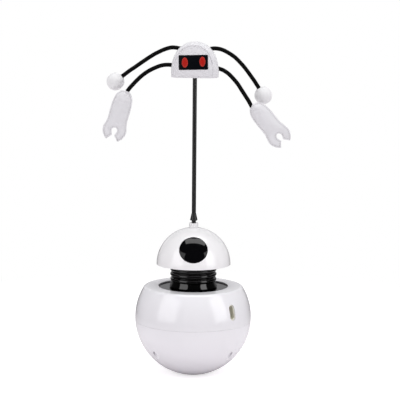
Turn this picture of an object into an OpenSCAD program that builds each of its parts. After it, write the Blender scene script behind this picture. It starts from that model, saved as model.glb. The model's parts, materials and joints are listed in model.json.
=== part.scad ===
// Wobbling cat ball: a weighted ball on a small flat foot, with a motor inside
// that swings an eccentric weight. A ribbed neck carries a sprung dome head
// with a push-button eye. A teaser wand plugs into the dome and holds up a
// stuffed robot toy on four springy cords.
// Millimetres. +Z is up, the front faces -Y, and the origin is the middle of
// the flat foot.

/* [Ball] */
// Diameter of the ball
ball_d = 86; // [82:1:94]
// Wall of the two half shells
shell_t = 2.2; // [1.8:0.1:2.6]
// Diameter of the flat foot under the ball
foot_d = 15; // [10:1:20]
// Height of the flat top above the middle of the ball
top_h = 23.5; // [22:0.1:25]
// Rounding between the flat top and the side of the ball
top_round = 3; // [2.5:0.5:4]
// Drop of the seam below the middle of the ball
seam_drop = 2; // [1:0.5:4]
// Width of the groove that shows along the seam
seam_gap = 0.1; // [0.05:0.05:0.6]
// Height of the lap that locates the two shells
lap_h = 2; // [1:0.5:3]

/* [Charge slot] */
// Width of the oval charge slot
slot_w = 5.2; // [5:0.1:7]
// Height of the oval charge slot
slot_h = 11.2; // [10.8:0.1:13]
// Turn of the slot from the front, towards +X
slot_turn = 43; // [35:1:50]
// Rise of the slot above the middle of the ball
slot_rise = 9.6; // [9:0.1:10]

/* [Deck] */
// Diameter of the black deck in the flat top
deck_d = 51.2; // [48:0.2:53]
// Drop of the deck face below the white rim
deck_sink = 0.9; // [0.4:0.1:1.5]
// Thickness of the deck moulding
deck_t = 2; // [1.5:0.1:2.5]
// Depth of the thick ring that the deck is screwed to
lip_h = 5; // [4:0.5:6]

/* [Neck] */
// Height of the neck from the deck face to the dome rim
neck_h = 17.3; // [15:0.1:22]
// Diameter of the bellows over its ribs
neck_d = 34.2; // [32:0.2:38]
// Depth of the grooves between the ribs
rib_depth = 1; // [0.6:0.1:1.4]
// Number of ribs
rib_count = 3; // [2:1:4]
// Diameter of the flared foot of the bellows
bellows_foot_d = 35.4; // [34:0.2:40]
// Height of the flared foot of the bellows
bellows_foot_h = 4.6; // [3:0.1:6]
// Diameter of the spigots that the bellows grips
spigot_d = 29; // [26:0.5:30]
// Height of those spigots
spigot_h = 3; // [2:0.5:4]
// Mean diameter of the neck spring
spring_d = 18; // [14:0.5:20]
// Wire of the neck spring
spring_wire = 1.6; // [1:0.1:2]
// Turns of the neck spring
spring_turns = 5; // [3:1:6]

/* [Dome] */
// Diameter of the dome head
dome_d = 54.6; // [53:0.2:60]
// Wall of the dome
dome_t = 2; // [1.6:0.1:2.4]
// Thickness of the plate that closes the dome
base_t = 2; // [1.6:0.1:2.2]
// Rise of that plate inside the rim
base_sink = 0.6; // [0.2:0.1:0.8]
// Diameter of the round eye, which is the push button
eye_d = 20.4; // [18:0.2:21]
// Angle of the eye above level
eye_rise = 33; // [32:1:38]
// Height of the eye above the dome surface
eye_proud = 0.3; // [0.1:0.1:0.6]
// Travel of the eye when it is pressed
eye_travel = 0.8; // [0.4:0.1:0.9]
// Diameter of the wand socket
socket_d = 6.7; // [5.5:0.1:8]
// Height of the socket above the crown of the dome
socket_h = 3.3; // [2:0.1:6]

/* [Wand] */
// Diameter of the plug that goes into the socket
plug_d = 3.1; // [2.6:0.1:3.6]
// Depth of the plug in the socket
plug_depth = 12; // [8:0.5:13]
// Length of plug that shows above the socket
plug_show = 1.9; // [0.5:0.1:3]
// Widest diameter of the ferrule
ferrule_d = 5.5; // [4.6:0.1:7]
// Height of the ferrule
ferrule_h = 5.2; // [4:0.1:10]
// Diameter of the wand rod
rod_d = 2.8; // [2.2:0.1:3.4]
// Bare length of the rod between the ferrule and the toy
rod_h = 99.3; // [60:0.1:160]

/* [Toy] */
// Width of the stuffed head
toy_w = 34; // [33:0.5:40]
// Height of the stuffed head
toy_h = 26.5; // [25:0.5:30]
// Thickness of the stuffed head
toy_t = 21; // [16:0.5:24]
// Turn of the stuffed head about the rod
toy_yaw = -7; // [-15:1:15]
// Width of the dark visor
visor_w = 21.2; // [18:0.2:22]
// Height of the dark visor
visor_h = 10.6; // [9:0.2:12]
// Height of the middle of the visor above the bottom of the head
visor_rise = 11.3; // [10:0.1:13]
// Thickness of the visor
visor_t = 0.7; // [0.5:0.1:1]
// Width of a red eye patch
patch_w = 4.7; // [3.5:0.1:6]
// Height of a red eye patch
patch_h = 7.6; // [6:0.1:8.4]
// Distance between the two eye patches
patch_pitch = 13.2; // [10:0.2:14]
// Diameter of the round felt hands
felt_ball_d = 13.2; // [12:0.2:16]
// Diameter of the arm cords
cord_d = 2.7; // [2.2:0.1:3.2]
// Length of a claw hand
claw_l = 38; // [36:0.5:42]
// Width of a claw hand across its palm
palm_w = 14.8; // [13:0.2:16]
// Width of a claw hand across its jaws
jaw_w = 17.6; // [16.6:0.2:19]
// Depth of the notch between the jaws
notch_h = 9.6; // [9:0.1:11]
// Opening between the tips of the jaws
mouth_w = 2.6; // [2:0.1:3.6]
// Thickness of a claw hand
claw_t = 7.6; // [6:0.2:7.6]

/* [Drive] */
// Module of the gear teeth
gear_module = 0.5; // [0.48:0.01:0.52]
// Teeth of the drive gear
gear_teeth = 54; // [48:2:56]
// Teeth of the motor pinion
pinion_teeth = 18; // [17:1:20]
// Face width of the gears
gear_t = 3.5; // [2.5:0.1:4]
// Play between the gear teeth
gear_play = 0.12; // [0.08:0.01:0.2]
// Thickness of the eccentric weight
weight_t = 6; // [4:0.2:6.2]
// Diameter of the pin that the rotor turns on
pin_d = 3; // [2:0.1:4]
// Height of the top of the ballast
ballast_top = 16; // [14:0.5:16]
// Thickness of the chassis plate
chassis_t = 2.5; // [2:0.1:3]
// Diameter of the motor
motor_d = 16; // [14:0.5:17]

/* [Power] */
// Diameter of the battery cell
cell_d = 14; // [12:0.2:14]
// Length of the battery cell
cell_l = 40; // [34:0.5:42]
// Thickness of the circuit boards
board_t = 1.2; // [0.8:0.1:1.6]
// Width of the charge port
port_w = 9; // [8.6:0.1:9.2]
// Thickness of the charge port
port_t = 3.2; // [3:0.1:3.4]
// Length of the charge port
port_l = 7.4; // [6.5:0.1:8]

/* [Screws] */
// Diameter of the shell screws
screw_d = 2.6; // [2:0.1:3]
// Diameter of a shell screw head
screw_head_d = 4; // [3.8:0.1:5]
// Height of a shell screw head
screw_head_h = 1.6; // [1.2:0.1:2]
// Diameter of the small screws on the inner pieces
small_screw_d = 2; // [1.6:0.1:2.2]
// Distance of the shell screws from the inside of the wall
pillar_inset = 5.4; // [5:0.1:6]
// Turn of the shell screws from the sides of the ball
pillar_turn = 41; // [34:0.5:44]

/* [Fits] */
// Gap round pieces that sit in one another
fit_gap = 0.2; // [0.1:0.05:0.3]
// Radial gap of a shaft that turns or slides in its bore
run_gap = 0.05; // [0.02:0.01:0.08]

/* [Hidden] */
$fn = 96;
cut = 1;
far = 2 * ball_d;

// Levels of the ball, the neck and the dome
ball_r = ball_d / 2;
inner_r = ball_r - shell_t;
mid_r = ball_r - shell_t / 2;
ball_z = sqrt(pow(ball_r, 2) - pow(foot_d / 2, 2));
rim_z = ball_z + top_h;
seam_z = ball_z - seam_drop;
lip_z = rim_z - lip_h;
round_z = rim_z - top_round;
round_x = sqrt(pow(ball_r - top_round, 2) - pow(round_z - ball_z, 2));
round_way = [round_x, round_z - ball_z] / (ball_r - top_round);
round_over = 0.02;
deck_z = rim_z - deck_sink;
deck_r = deck_d / 2;
lip_in_r = sqrt(pow(inner_r, 2) - pow(lip_z - ball_z, 2));
flange_r = (deck_r + lip_in_r) / 2;
flange_screw_r = (deck_r + flange_r) / 2;
dome_z = deck_z + neck_h;
dome_r = dome_d / 2;
dome_in_r = dome_r - dome_t;
base_z = dome_z + base_sink;
base_top = base_z + base_t;
socket_top = dome_z + dome_r + socket_h;
ferrule_z = socket_top + plug_show;
toy_z = ferrule_z + ferrule_h + rod_h;

// Bellows, in shares of the pitch: before the first rib, past the last one's pitch, and a rib's radius,
// then the share of the foot that is straight
rib_start = 0.43;
rib_rest = 0.57;
rib_share = 0.42;
foot_straight = 0.2;

// Screw pillars, posts and bosses inside the ball
boss_wall = 1.6;
pillar_r = screw_head_d / 2 + boss_wall;
pillar_web = 2.4;
boss_h = 5.2;
screw_grip = 4.5;
seat_drop = 5;
head_bore_r = screw_head_d / 2 + fit_gap;
pillar_circle = inner_r - pillar_inset;
pillars = [for (sx = [-1, 1], sy = [-1, 1]) [sx * cos(pillar_turn), sy * sin(pillar_turn)] * pillar_circle];
post_r = 3;
post_turns = [45:90:315];
post_edge = 4;
chassis_r = pillar_circle - pillar_r - 1.5;
post_circle = chassis_r - post_edge;
weight_r = post_circle - post_r - 1;
small_head_d = small_screw_d * 1.8;
small_head_h = 1.1;
screw_reach = 5;
screw_end = 0.5;
lip_skin = 1;

// Rotor and gear levels, from the ballast up
washer_t = 0.5;
play = 0.2;
hub_r = 4;
hub_z = ballast_top + washer_t + play / 2;
weight_z = hub_z + 0.6;
gear_z = weight_z + weight_t + 0.8;
chassis_z = gear_z + gear_t + 1.5;
chassis_top = chassis_z + chassis_t;
gear_r = gear_module * gear_teeth / 2;
pinion_r = gear_module * pinion_teeth / 2;
motor_y = gear_r + pinion_r;
pressure_angle = 20;
shaft_r = 1;
collar_r = shaft_r + 2;
pin_boss_h = 3;

// Battery, boards and charge port
cell_z = chassis_top + fit_gap + cell_d / 2;
saddle_x = 13;
saddle_w = 4;
saddle_h = 5;
clip_w = 6;
clip_x = 7;
clip_t = 1;
end_cap_h = 2.5;
board_room = 3.9;
board_z = lip_z - deck_t - board_room;
motor_room = 2;
motor_h = board_z - chassis_top - end_cap_h - motor_room;
slot_z = ball_z + slot_rise;
port_gap = 1.25;
bezel_lap = 0.8;
bezel_drop = 0.8;
fine = 160;
port_x = sqrt(pow(inner_r, 2) - pow(slot_rise, 2)) - port_gap - port_l;
charge_x = port_x - 4;
charge_l = 9.5;
charge_h = port_w + 4;
board_r = charge_x - 4;
standoff_r = 2.5;
standoff_turns = [20, 160, 270];
standoff_circle = board_r - standoff_r - 0.3;
standoffs = [for (a = standoff_turns) polar(standoff_circle, a)];
cell_y = cell_d / 2 + standoff_r + 0.5 - standoff_circle;
wire_r = 4;
rail_x = port_x + 2.2;
rail_w = 1.5;
rail_h = charge_h / 2 - port_w / 2 - 2 * fit_gap;

// Eye button, in a frame whose +Z runs out through the middle of the eye
eye_r = eye_d / 2;
eye_flange_r = eye_r + 1;
eye_flange_t = 1.2;
eye_seat_r = eye_flange_r + fit_gap;
eye_seat = sqrt(pow(dome_in_r, 2) - pow(eye_seat_r, 2)) + 0.15;
eye_back = eye_seat - fit_gap / 2;
eye_wall = 1.5;
eye_flange_low = -6.5;
switch_z = 12;
switch_w = 6;
switch_h = 3.4;
plunger_r = 1.75;
plunger_top = switch_z + board_t + switch_h + 1.4;
stem_r = 2;
switch_post_r = 1.9;
switch_post = [12.5, 5.5];
switch_low = -3.6;
switch_high = 8;
dome_column_r = 2.8;
dome_column_x = 20;
dome_columns = [[dome_column_x, 0], [-dome_column_x, 0], [0, dome_column_x]];

// Wand socket under the crown of the dome
socket_flange_r = 6;
socket_flange_t = 1.5;
socket_seat_r = socket_flange_r + fit_gap;
socket_seat = dome_z + sqrt(pow(dome_in_r, 2) - pow(socket_seat_r, 2)) + 0.2;
socket_floor = 1.5;
rod_seat = 1.2;
rod_grip = 12;

// Stuffed head: a D outline that swells towards its middle
head_belt = 2;
head_middle = 9;
crown_power = 2.3;
hem_power = 6;
swell_power = 4;
outline_steps = 28;
swell_steps = 10;

// Arm cords in the frame of the toy, from inside the head to inside the hand
route_upper_left = [
  [-8, 0, 20.2], [-11, 0, 20.8], [-14, 0, 21.4], [-17, 0.5, 21.6], [-20, 1, 21.1],
  [-23, 1.5, 19.9], [-26, 2.5, 18.5], [-29.5, 3.5, 16.7], [-33, 4, 14.6],
  [-36.5, 5, 12.2], [-40, 6, 9.7], [-43.5, 6.5, 7.2], [-47, 7, 4.7],
  [-50.8, 7.5, 2], [-54.5, 8, -0.6]
];
route_upper_right = [
  [8, 0, 20.6], [11, 0, 20.9], [14, 0, 21.2], [17, 0.5, 20.8], [20, 1, 19.7],
  [23, 1.5, 17.9], [26, 2.5, 15.7], [29, 3.5, 13.2], [32, 4, 10.4], [35, 5, 7.4],
  [37.8, 6, 4.2], [40.5, 6.5, 0.9], [43, 7, -2.3], [45.5, 7.5, -5.6], [48, 8, -9]
];
route_lower_left = [
  [-13, 0, 8.6], [-16, 0, 8.9], [-19, 0, 9.2], [-22, -0.5, 9.2], [-25, -0.5, 8.7],
  [-28, -1, 7.7], [-31, -1.5, 6.2], [-33.7, -2, 4.4], [-36.4, -2, 2.3],
  [-39, -2.5, 0.1], [-41.4, -2.5, -2.2], [-43.7, -3, -4.6], [-46, -3, -7],
  [-48.2, -3.5, -9.4], [-50, -3.5, -11.5]
];
route_lower_right = [
  [12.6, 0, 8.2], [15.3, 0, 7.4], [18, 0, 6.6], [20.3, -0.5, 5.8], [22.5, -0.5, 4.5],
  [24.7, -1, 2.8], [26.8, -1.5, 0.7], [28.9, -2, -1.8], [31, -2, -4.5],
  [33, -2.5, -7.3], [34.9, -2.5, -10.2], [36.8, -3, -13.1], [38.7, -3, -16],
  [40.5, -3.5, -18.9], [42, -3.5, -21.4]
];
routes = [route_upper_left, route_upper_right, route_lower_left, route_lower_right];
felt_ball_left_at = [-58.3, 8.5, -3.3];
felt_ball_right_at = [50.4, 8.5, -12.5];
claw_left_at = [-49.9, -3.5, -8.9];
claw_left_lean = 16;
claw_right_at = [42.1, -3.5, -18.2];
claw_right_lean = -40;
cord_sides = 8;

// Claw hand: the palm, then the root, bulge, hook and tip of each jaw
palm_r = palm_w / 2;
notch_z = claw_l - notch_h;
root_r = 4;
bulge_r = 3.1;
hook_r = 2.9;
tip_r = 1.3;
tip_x = 4.1;
jaw_pads = [
  [palm_r - root_r, notch_z - root_r, root_r],
  [jaw_w / 2 - bulge_r, notch_z + 1.6, bulge_r],
  [mouth_w / 2 + hook_r, notch_z + 5.8, hook_r],
  [tip_x, claw_l - tip_r, tip_r]
];
pad_fn = 18;

white = [0.93, 0.93, 0.94];
black = [0.05, 0.05, 0.06];
steel = [0.62, 0.63, 0.65];
felt = [0.88, 0.88, 0.9];
board_green = [0.08, 0.3, 0.18];

function unit(v) = v / norm(v);
function polar(r, a) = [r * cos(a), r * sin(a)];
function signed_power(v, p) = sign(v) * pow(abs(v), p);

// Involute flank: how far the tooth has narrowed at radius r, in degrees
function involute(base, r) = let (a = acos(min(base / r, 1))) tan(a) * 180 / PI - a;
function tooth_half(r, pitch, base, n) =
  90 / n - gear_play / 2 / pitch * 90 / PI + involute(base, pitch) - involute(base, max(r, base));
function flank_radii(pitch, base) =
  let (root = pitch - 1.25 * gear_module, tip = pitch + gear_module)
  root < base ? [root, base, pitch, tip] : [root, pitch, tip];
function gear_outline(n) =
  let (pitch = gear_module * n / 2, base = pitch * cos(pressure_angle), radii = flank_radii(pitch, base))
  [
    for (i = [0:n - 1], side = [-1, 1])
      let (last = len(radii) - 1)
        for (k = [0:last])
          let (r = radii[side < 0 ? k : last - k])
            polar(r, 360 * i / n + side * tooth_half(r, pitch, base, n))
  ];

// Faces of a closed skin over stacked rings of n points, with both ends capped
function skin_faces(rings, n) = [
  for (i = [0:rings - 2], k = [0:n - 1])
    let (a = i * n + k, b = i * n + (k + 1) % n)
      each [[a, a + n, b + n], [a, b + n, b]],
  for (k = [1:n - 2]) [0, k, k + 1],
  for (k = [1:n - 2]) let (o = (rings - 1) * n) [o, o + k + 1, o + k]
];

module tube(r_out, r_in, h) {
  difference() {
    cylinder(r = r_out, h = h);
    translate([0, 0, -cut]) cylinder(r = r_in, h = h + 2 * cut);
  }
}

module at_each(places) {
  for (p = places) translate([p[0], p[1], 0]) children();
}

module along(p, q) {
  v = q - p;
  translate(p) rotate([0, acos(v[2] / norm(v)), atan2(v[1], v[0])]) children();
}

// A screw with its head below z = 0 and its shank above
module screw(d, head_d, head_h, length) {
  translate([0, 0, -head_h]) cylinder(d = head_d, h = head_h);
  cylinder(d = d, h = length);
}

module small_screw(length) {
  screw(small_screw_d, small_head_d, small_head_h, length);
}

// A round tube along a list of points, framed against a fixed side direction
module swept_tube(points, r, sides, side_dir) {
  last = len(points) - 1;
  rings = [
    for (i = [0:last])
      let (
        t = unit(points[min(i + 1, last)] - points[max(i - 1, 0)]),
        a = unit(cross(side_dir, t)),
        b = cross(t, a)
      )
        for (k = [0:sides - 1]) points[i] + r * (cos(360 * k / sides) * a + sin(360 * k / sides) * b)
  ];
  polyhedron(rings, skin_faces(last + 1, sides));
}

// Trims pillars and ribs half way into the wall of the ball
module inside_wall() {
  intersection() {
    translate([0, 0, ball_z]) sphere(mid_r);
    union() children();
  }
}

// A screw pillar between two levels, with a web to the wall that stops lower
module pillar(p, r, low, high) {
  translate([p[0], p[1], low]) cylinder(r = r, h = high - low);
  translate([0, 0, low]) rotate([0, 0, atan2(p[1], p[0])])
    translate([norm(p), -pillar_web / 2, 0]) cube([ball_r - norm(p), pillar_web, high - pillar_web - low]);
}

module slot_frame() {
  translate([0, 0, slot_z]) rotate([0, 0, slot_turn - 90]) children();
}

module oval(length, width) {
  square([length - width, width], center = true);
  for (s = [-1, 1]) translate([s * (length - width) / 2, 0]) circle(d = width);
}

module slot_cutter() {
  slot_frame() translate([port_x + port_l - cut, 0, 0]) rotate([0, 90, 0]) linear_extrude(ball_r)
    oval(slot_h, slot_w);
}

// Two channels behind the slot that grip the edges of the charge board
module charge_rails() {
  for (s = [-1, 1])
    slot_frame() translate([rail_x, -port_t / 2 - board_t - rail_w, s * (charge_h - rail_h) / 2 - rail_h / 2])
      difference() {
        translate([0, 0, s > 0 ? 0 : -rail_w]) cube([ball_r, board_t + 2 * rail_w, rail_h + rail_w]);
        translate([-cut, rail_w - fit_gap / 2, s > 0 ? -cut : -fit_gap])
          cube([charge_x + charge_l - rail_x + fit_gap + cut, board_t + fit_gap, rail_h + cut + fit_gap]);
      }
}

// The wall between two ball radii, kept where the child profile is
module shell_ring(r_out, r_in) {
  rotate_extrude() intersection() {
    translate([0, ball_z]) difference() {
      circle(r_out);
      circle(r_in);
    }
    children();
  }
}

// Wall of the upper shell: the side of the ball, a flat top and a rounded edge
module upper_profile() {
  difference() {
    intersection() {
      translate([0, ball_z]) circle(ball_r);
      translate([0, seam_z + seam_gap]) square([far, rim_z - seam_z - seam_gap]);
    }
    intersection() {
      translate([0, ball_z]) circle(inner_r);
      square([far, rim_z - shell_t]);
    }
    translate([round_x, round_z]) difference() {
      polygon([[0, 0], round_way * 2 * top_round, [2, 2] * top_round, [0, 2 * top_round]]);
      circle(top_round + round_over);
    }
  }
}

module lower_shell() {
  color(white) difference() {
    union() {
      shell_ring(ball_r, inner_r) square([far, seam_z]);
      shell_ring(mid_r - fit_gap, inner_r) translate([0, seam_z - lap_h]) square([far, 2 * lap_h]);
      inside_wall() {
        for (p = pillars) pillar(p, pillar_r, 0, seam_z);
        for (a = post_turns) rotate([0, 0, a]) translate([post_circle, 0, 0])
          cylinder(r = post_r, h = chassis_z);
      }
    }
    at_each(pillars) {
      translate([0, 0, -cut]) cylinder(r = head_bore_r, h = seam_z - seat_drop + cut);
      cylinder(d = screw_d + 2 * fit_gap, h = seam_z + cut);
    }
    for (a = post_turns) rotate([0, 0, a]) translate([post_circle, 0, chassis_z - screw_reach])
      cylinder(d = small_screw_d + 2 * run_gap, h = screw_reach + cut);
  }
}

module upper_shell() {
  color(white) difference() {
    union() {
      rotate_extrude() upper_profile();
      translate([0, 0, lip_z]) cylinder(r = flange_r + 1, h = lip_h - shell_t / 2);
      inside_wall() {
        for (p = pillars) pillar(p, pillar_r, seam_z, seam_z + boss_h);
        charge_rails();
      }
    }
    shell_ring(mid_r, inner_r - fit_gap) square([far, seam_z + lap_h + fit_gap]);
    translate([0, 0, lip_z - cut]) cylinder(d = deck_d + 2 * fit_gap, h = far);
    at_each(pillars) translate([0, 0, seam_z - cut])
      cylinder(d = screw_d + 2 * run_gap, h = screw_grip + fit_gap + cut);
    for (a = [0:90:270]) rotate([0, 0, a]) translate([flange_screw_r, 0, lip_z - cut])
      cylinder(d = small_screw_d + 2 * run_gap, h = lip_h - lip_skin + cut);
    slot_cutter();
  }
}

module shell_screws() {
  color(steel) at_each(pillars) translate([0, 0, seam_z - seat_drop])
    screw(screw_d, screw_head_d, screw_head_h, seat_drop + screw_grip);
}

// The deck is a shallow hat: a flat crown, a wall, a screwed flange and the
// spigot that the bellows grips
module deck_plate() {
  wall_in = deck_r - deck_t;
  color(black) difference() {
    rotate_extrude() {
      translate([wire_r, deck_z - deck_t]) square([deck_r - wire_r, deck_t]);
      translate([wall_in, lip_z - deck_t]) square([deck_t, deck_z - lip_z + deck_t]);
      translate([wall_in, lip_z - deck_t]) square([flange_r - wall_in, deck_t]);
      translate([spigot_d / 2 - deck_t, deck_z - deck_t]) square([deck_t, deck_t + spigot_h]);
    }
    for (a = [0:90:270]) rotate([0, 0, a]) translate([flange_screw_r, 0, 0])
      cylinder(d = small_screw_d + fit_gap, h = far);
  }
}

module deck_screws() {
  color(steel) for (a = [0:90:270]) rotate([0, 0, a]) translate([flange_screw_r, 0, lip_z - deck_t])
    small_screw(deck_t + lip_h - lip_skin - screw_end);
}

module ballast() {
  color(steel) rotate_extrude() difference() {
    intersection() {
      translate([0, ball_z]) circle(inner_r - fit_gap);
      square([weight_r, ballast_top]);
    }
    translate([0, ballast_top / 2]) square([pin_d / 2 + run_gap, ballast_top]);
  }
}

module chassis() {
  color([0.16, 0.16, 0.17]) difference() {
    union() {
      translate([0, 0, chassis_z]) cylinder(r = chassis_r, h = chassis_t);
      translate([0, 0, chassis_top]) cylinder(r = pin_d / 2 + boss_wall, h = pin_boss_h);
      translate([0, motor_y, chassis_top])
        tube(motor_d / 2 + boss_wall, motor_d / 2 + fit_gap / 2, motor_h / 2);
      at_each(standoffs) translate([0, 0, chassis_top]) cylinder(r = standoff_r, h = board_z - chassis_top);
      for (s = [-1, 1]) translate([s * saddle_x - saddle_w / 2, cell_y - cell_d / 2, chassis_top])
        cube([saddle_w, cell_d, saddle_h]);
    }
    translate([-far / 2, cell_y, cell_z]) rotate([0, 90, 0]) cylinder(d = cell_d + 2 * fit_gap, h = far);
    cylinder(r = pin_d / 2 + run_gap, h = far);
    translate([0, motor_y, 0]) cylinder(r = collar_r + fit_gap, h = chassis_top + cut);
    for (a = post_turns) rotate([0, 0, a]) translate([post_circle, 0, 0])
      cylinder(d = small_screw_d + fit_gap, h = far);
    at_each(standoffs) translate([0, 0, board_z - screw_reach])
      cylinder(d = small_screw_d + 2 * run_gap, h = screw_reach + cut);
  }
}

module chassis_screws() {
  color(steel) for (a = post_turns) rotate([0, 0, a])
    translate([post_circle, 0, chassis_top]) mirror([0, 0, 1])
    small_screw(chassis_t + screw_reach - screw_end);
}

module rotor_pin() {
  low = ballast_top / 2 + play;
  color(steel) translate([0, 0, low]) cylinder(d = pin_d, h = chassis_top + pin_boss_h - low);
}

module thrust_washer() {
  color("burlywood") translate([0, 0, ballast_top]) tube(hub_r, pin_d / 2 + fit_gap, washer_t);
}

module drive_gear() {
  color("ivory") difference() {
    union() {
      translate([0, 0, hub_z]) cylinder(r = hub_r, h = chassis_z - play - hub_z);
      translate([0, 0, gear_z]) linear_extrude(gear_t) polygon(gear_outline(gear_teeth));
    }
    cylinder(r = pin_d / 2 + run_gap, h = far);
  }
}

module eccentric_weight() {
  color(steel) translate([0, 0, weight_z]) linear_extrude(weight_t) difference() {
    union() {
      circle(hub_r + 3);
      intersection() {
        circle(weight_r);
        translate([-far, 0]) square([2 * far, far]);
      }
    }
    circle(hub_r + run_gap);
  }
}

module motor_can() {
  color(steel) translate([0, motor_y, 0]) difference() {
    union() {
      translate([0, 0, chassis_top]) cylinder(d = motor_d, h = motor_h);
      translate([0, 0, chassis_z + chassis_t / 2]) cylinder(r = collar_r, h = chassis_t);
    }
    cylinder(r = shaft_r + run_gap, h = chassis_top + screw_reach);
  }
}

module motor_end_cap() {
  tab = [1.6, 0.5, 2];
  color(black) translate([0, motor_y, chassis_top + motor_h]) {
    cylinder(d = motor_d - 1, h = end_cap_h - tab[2] / 2);
    for (s = [-1, 1]) translate([s * motor_d / 4 - tab[0] / 2, 0, 0]) cube([tab[0], tab[1], end_cap_h]);
  }
}

module motor_shaft() {
  color(steel) translate([0, motor_y, gear_z - play])
    cylinder(r = shaft_r, h = chassis_top + screw_reach - play - gear_z);
}

module motor_pinion() {
  color("ivory") translate([0, motor_y, gear_z]) rotate([0, 0, 180 / pinion_teeth]) linear_extrude(gear_t)
    difference() {
      polygon(gear_outline(pinion_teeth));
      circle(shaft_r + run_gap / 2);
    }
}

module battery_cell() {
  nub = 1;
  color("royalblue") translate([-cell_l / 2, cell_y, cell_z]) rotate([0, 90, 0]) {
    cylinder(d = cell_d, h = cell_l - nub);
    cylinder(d = cell_d / 3, h = cell_l);
  }
}

// A sprung strap over the cell, with a foot on each side
module battery_clip() {
  arch_r = cell_d / 2 + fit_gap;
  foot_w = 3;
  color(steel) translate([clip_x - clip_w / 2, cell_y, 0]) rotate([90, 0, 90]) linear_extrude(clip_w) {
    difference() {
      translate([0, cell_z]) circle(arch_r + clip_t);
      translate([0, cell_z]) circle(arch_r);
      translate([-far, cell_z - far]) square([2 * far, far]);
    }
    for (s = [-1, 1]) translate([s * (arch_r + clip_t / 2) - clip_t / 2, chassis_top])
      square([clip_t, cell_z - chassis_top]);
    translate([-arch_r - clip_t - foot_w, chassis_top]) square([foot_w + clip_t, clip_t]);
  }
}

module main_board() {
  color(board_green) translate([0, 0, board_z]) difference() {
    cylinder(r = board_r, h = board_t);
    at_each(standoffs) translate([0, 0, -cut]) cylinder(d = small_screw_d + fit_gap, h = board_t + 2 * cut);
  }
}

// A processor, a driver chip, a buzzer and two capacitors on the main board
module board_parts() {
  chip_w = board_r * 0.34;
  chip_t = board_t;
  buzzer_r = board_r * 0.2;
  color(black) translate([0, 0, board_z + board_t]) {
    translate([-chip_w / 2, chip_w / 2, 0]) cube([chip_w, chip_w, chip_t]);
    translate([-chip_w * 1.8, -chip_w, 0]) cube([chip_w * 0.6, chip_w / 2, chip_t]);
    translate([board_r / 2, -board_r / 4, 0]) cylinder(r = buzzer_r, h = buzzer_r * 0.7);
    for (s = [-1, 1]) translate([s * buzzer_r * 0.6, -2 * buzzer_r, 0])
      cylinder(r = buzzer_r / 2, h = buzzer_r * 0.8);
  }
}

module board_screws() {
  color(steel) at_each(standoffs) translate([0, 0, board_z + board_t]) mirror([0, 0, 1])
    small_screw(board_t + screw_reach - screw_end);
}

module charge_board() {
  color(board_green) slot_frame() translate([charge_x, -port_t / 2 - board_t, -charge_h / 2])
    cube([charge_l, board_t, charge_h]);
}

// A metal shell with round ends and a contact tongue inside
module charge_port() {
  wall = 0.3;
  tongue_t = 0.7;
  color(steel) slot_frame() translate([port_x, 0, 0]) rotate([0, 90, 0]) {
    difference() {
      linear_extrude(port_l) oval(port_w, port_t);
      translate([0, 0, cut]) linear_extrude(port_l) oval(port_w - 2 * wall, port_t - 2 * wall);
    }
    translate([-port_w / 3, -tongue_t / 2, cut / 2]) cube([port_w * 2 / 3, tongue_t, port_l - 1.2]);
  }
}

// A frame pressed into the slot round the mouth of the port, a little below the ball
module port_bezel() {
  color([0.5, 0.49, 0.42]) difference() {
    intersection() {
      slot_frame() translate([port_x + port_l - bezel_lap, 0, 0]) rotate([0, 90, 0]) linear_extrude(ball_r)
        oval(slot_h - 2 * run_gap, slot_w - 2 * run_gap, $fn = fine);
      translate([0, 0, ball_z]) sphere(ball_r - bezel_drop, $fn = fine);
    }
    slot_frame() translate([port_x, 0, 0]) rotate([0, 90, 0]) linear_extrude(ball_r)
      oval(port_w + 2 * fit_gap, port_t + 2 * fit_gap, $fn = fine);
  }
}

// Round ribs on a flared foot, with a collar that runs up under the dome
module neck_bellows() {
  groove_r = neck_d / 2 - rib_depth;
  pitch = (base_z - deck_z - bellows_foot_h) / (rib_count + rib_rest);
  rib_r = pitch * rib_share;
  color(black) rotate_extrude() difference() {
    union() {
      translate([0, deck_z]) square([groove_r, base_z - deck_z]);
      translate([0, deck_z]) polygon([
        [0, 0], [bellows_foot_d / 2, 0], [bellows_foot_d / 2, bellows_foot_h * foot_straight],
        [groove_r, bellows_foot_h], [0, bellows_foot_h]
      ]);
      for (i = [0:rib_count - 1])
        translate([neck_d / 2 - rib_r, deck_z + bellows_foot_h + pitch * (i + rib_start)]) circle(rib_r);
    }
    translate([0, deck_z - cut]) square([spigot_d / 2 + fit_gap, base_z - deck_z + 2 * cut]);
  }
}

module neck_spring() {
  rings = 12 * spring_turns;
  low = deck_z + spring_wire / 2 + fit_gap;
  rise = base_z - deck_z - spring_wire - 2 * fit_gap;
  coil = [for (i = [0:rings]) [
    spring_d / 2 * cos(360 * spring_turns * i / rings),
    spring_d / 2 * sin(360 * spring_turns * i / rings),
    low + rise * i / rings
  ]];
  color(steel) swept_tube(coil, spring_wire / 2, 6, [0, 0, 1]);
}

module eye_frame() {
  translate([0, 0, dome_z]) rotate([90 - eye_rise, 0, 0]) children();
}

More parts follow.
